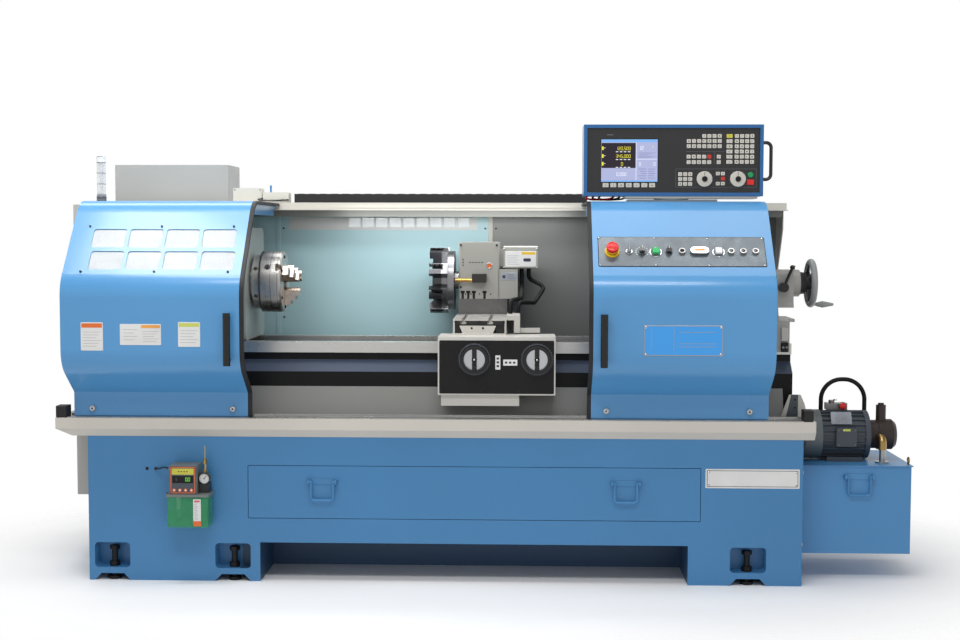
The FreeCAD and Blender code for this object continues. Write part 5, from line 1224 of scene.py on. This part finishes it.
def rear_details():
    seams = Piece("guard_seams", "frame", front(850))
    for x, finish in ((615, worn_by("rear_guard")), (1572, ivory)):
        seams.slab(x - 9, x + 9, 760, 1470, 0, 2.0, finish, 1, 0.5)
    for z in (800, 1000, 1200, 1400):
        for x in (640, 1548, 1596):
            seams.socket_screw(x, z, 0, 4.0, dark_iron)
    seams.done("rear_teal")
    low, high = span("upper_beam")
    post = Piece("guide_post", "frame", front(790))
    post.slab(590, 598, high.z + 0.3, high.z + 78, -0.5, 5, base_blue, 2, 0.5)
    post.done()
    # A grey strip below the beam's front face: painted shade for the beam's underside.
    lip = Piece("beam_lip", "frame", front(low.y + 42))
    lip.slab(low.x + 20, high.x - 20, high.z - 62, high.z - 33.5, -3, 0, beam_underside_shade, 1, 0.3)
    lip.done()
    duct = Piece("duct_ribs", "frame", top(1552))
    for i in range(26):
        x = 715 + i * 49.6
        duct.slab(x, x + 30, 780, 838, -1, 1.2, rubber, 3, 0.5)
    duct.done()
    boxes = Piece("junction_details", "frame", front(790))
    boxes.screws((432, 545), (1520, 1570), 0, 3.5, steel)
    lead = [(560, 1532, 12), (540, 1526, 18), (600, 1522, 22), (676, 1526, 14)]
    boxes.tube(smooth(lead), 3.5, black_plastic, 8)
    boxes.done()
    lamp = Piece("lamp_core", "frame", top(lamp_low.z))
    x, y = (lamp_low.x + lamp_high.x) / 2, (lamp_low.y + lamp_high.y) / 2
    lamp.turn(x, y, [(8, 50), (8, 120), (10, 124), (10, 190)], plate_white, 20)
    for z in (52, 98, 146, 192):
        lamp.ring(x, y, z, z + 3, 20, 17, plate_silver, 28)
    lamp.disc(x, y, 217, 221, 20.5, chrome, 1.5)
    for i in range(6):
        lamp.ring(x, y, 4 + 7 * i, 7 + 7 * i, 21.8, 19, dark_iron, 28)
    lamp.done("clear")


def back_details():
    """The cabinet's door furniture, vents and cable glands at the rear."""
    vents = Piece("cabinet_vents", "cabinet_door", rear(span("cabinet_door")[1].y - 16))
    for row in range(8):
        for column in range(2):
            x = cabinet_low.x + 120 + column * 170
            z = cabinet_low.z + 160 + row * 22
            vents.slab(x, x + 120, z, z + 9, -0.5, 2.6, worn_by("cabinet_door"), 4, 1.8)
    x0, z1 = cabinet_low.x, cabinet_high.z
    vents.slab(x0 + 190, x0 + 330, z1 - 300, z1 - 200, 0, 1.0, plate_white, 3, 0.3)
    for i in range(5):
        z = z1 - 285 + 16 * i
        vents.slab(x0 + 204, x0 + 300 - 9 * (i % 2), z, z + 2, 1.0, 1.2, plate_rule, 0.5, 0.0)
    vents.done("light_grey")
    glands = Piece("cabinet_glands", "frame", free())
    for i in range(4):
        x, y, z = x0 + 120 + 70 * i, cabinet_low.y + 90, cabinet_low.z
        glands.tube([(x, y, z + 1), (x, y, z - 16)], 14, black_plastic, 6)
        glands.tube([(x, y, z - 15), (x, y, z - 26)], 10, black_plastic, 20)
    glands.done()
    cover = Piece("cover_screws", "frame", left_side(span("end_cover")[0].x + 0.2))
    for yy in (axis_y + 30, 770):
        for z in (320, 700, 1080, 1464):
            cover.disc(yy, z, -1, 0.2, 6, steel, 0.1)
            cover.disc(yy, z, 0, 0.2, 2.5, hole_shade_and_bezel_black, 0.05, 6)
    # The end cover's vent slots are near-flush black strips: painted shade in slots that are not cut.
    for i in range(7):
        cover.slab(520, 680, 380 + 18 * i, 388 + 18 * i, -1, 0.2, matt_black, 3, 0.1)
    cover.done()


# ---- Floor, light, camera ----

floor_fade = (0.8, 1.35)
sky_above = 0.35
sky_in_front = 0.72


def floor():
    data = bpy.data.meshes.new("floor")
    half = 12.0
    corners = [(-half, -half, 0.0), (half, -half, 0.0), (half, half, 0.0), (-half, half, 0.0)]
    data.from_pydata(corners, [], [(0, 1, 2, 3)])
    made = bpy.data.objects.new("floor", data)
    bpy.context.scene.collection.objects.link(made)
    sheet = Finish("floor_white", shade(252, 252, 252), 0.8)
    data.materials.append(sheet.done(drift=0.01, patch=0.6, wear=0.02))
    away = sheet.nodes.new("ShaderNodeVectorMath")
    away.operation = "LENGTH"
    shrink = sheet.nodes.new("ShaderNodeMapping")
    shrink.inputs["Scale"].default_value = (0.5, 0.8, 1.0)
    sheet.links.new(sheet.spot, shrink.inputs[0])
    sheet.links.new(shrink.outputs[0], away.inputs[0])
    fade = ramp(sheet.nodes, *floor_fade, 1.0, 0.0)
    fade.interpolation_type = "SMOOTHSTEP"
    sheet.links.new(away.outputs["Value"], fade.inputs[0])
    sheet.links.new(fade.outputs[0], sheet.bsdf.inputs["Alpha"])


def lamp(name, at, towards, width, height, power):
    data = bpy.data.lights.new(name, "AREA")
    data.shape = "RECTANGLE"
    data.size, data.size_y = width, height
    data.energy = power
    made = bpy.data.objects.new(name, data)
    made.location = place(*at)
    made.rotation_mode = "QUATERNION"
    made.rotation_quaternion = (place(*towards) - place(*at)).to_track_quat("-Z", "Y")
    bpy.context.scene.collection.objects.link(made)


def light():
    world = bpy.data.worlds.new("studio")
    bpy.context.scene.world = world
    world.use_nodes = True
    nodes, links = world.node_tree.nodes, world.node_tree.links
    spot = nodes.new("ShaderNodeTexCoord")
    split = nodes.new("ShaderNodeSeparateXYZ")
    rise = ramp(nodes, 0.30, 0.55, 1.0, sky_above)
    links.new(spot.outputs["Generated"], split.inputs[0])
    links.new(split.outputs["Z"], rise.inputs[0])
    depth = ramp(nodes, -0.3, 0.3, sky_in_front, 1.0)
    links.new(split.outputs["Y"], depth.inputs[0])
    level = nodes.new("ShaderNodeMath")
    level.operation = "MULTIPLY"
    links.new(rise.outputs[0], level.inputs[0])
    links.new(depth.outputs[0], level.inputs[1])
    sky = nodes["Background"]
    sky.inputs["Color"].default_value = (1.0, 1.0, 1.0, 1.0)
    links.new(level.outputs[0], sky.inputs["Strength"])
    lamp("ceiling", (1400, -350, 4300), (1400, 0, 900), 4.4, 1.0, 52)
    lamp("front_box", (1300, -2900, 4400), (1400, 100, 1000), 3.4, 0.7, 78)
    lamp("rear_box", (800, 2400, 4300), (1200, 300, 1400), 4.5, 0.8, 60)
    lamp("left_box", (-100, -620, 3300), (250, 0, 1340), 1.1, 0.7, 24)
    lamp("inside_strip", (1420, 560, 1460), (1420, 820, 900), 1.0, 0.06, 2.6)


camera_at = (1728.0, -5500.2, 1380.0)
camera_turns = (1.828, 3.523, 0.105)


def camera():
    data = bpy.data.cameras.new("camera")
    data.sensor_width = 36.0
    data.lens = 52.995
    made = bpy.data.objects.new("camera", data)
    made.location = place(*camera_at)
    yaw, pitch, roll = (math.radians(a) for a in camera_turns)
    ahead = Vector((-math.sin(yaw) * math.cos(pitch), math.cos(yaw) * math.cos(pitch), -math.sin(pitch)))
    side = ahead.cross(Z).normalized()
    up = side.cross(ahead)
    right = side * math.cos(roll) + up * math.sin(roll)
    above = right.cross(ahead)
    made.rotation_mode = "QUATERNION"
    made.rotation_quaternion = Matrix((right, above, -ahead)).transposed().to_quaternion()
    bpy.context.scene.collection.objects.link(made)
    bpy.context.scene.camera = made
    bpy.context.scene.view_settings.view_transform = "Standard"


for make in (dress_base, dress_guards, dress_head, dress_inside, dress_carriage, dress_tail, dress_rear,
             dress_hydraulics, guard_details, panel_details, head_details, base_details, lubricator,
             hydraulics, chuck_details, turret_details, carriage_details, tail_details, rear_details,
             back_details, floor, light, camera):
    make()
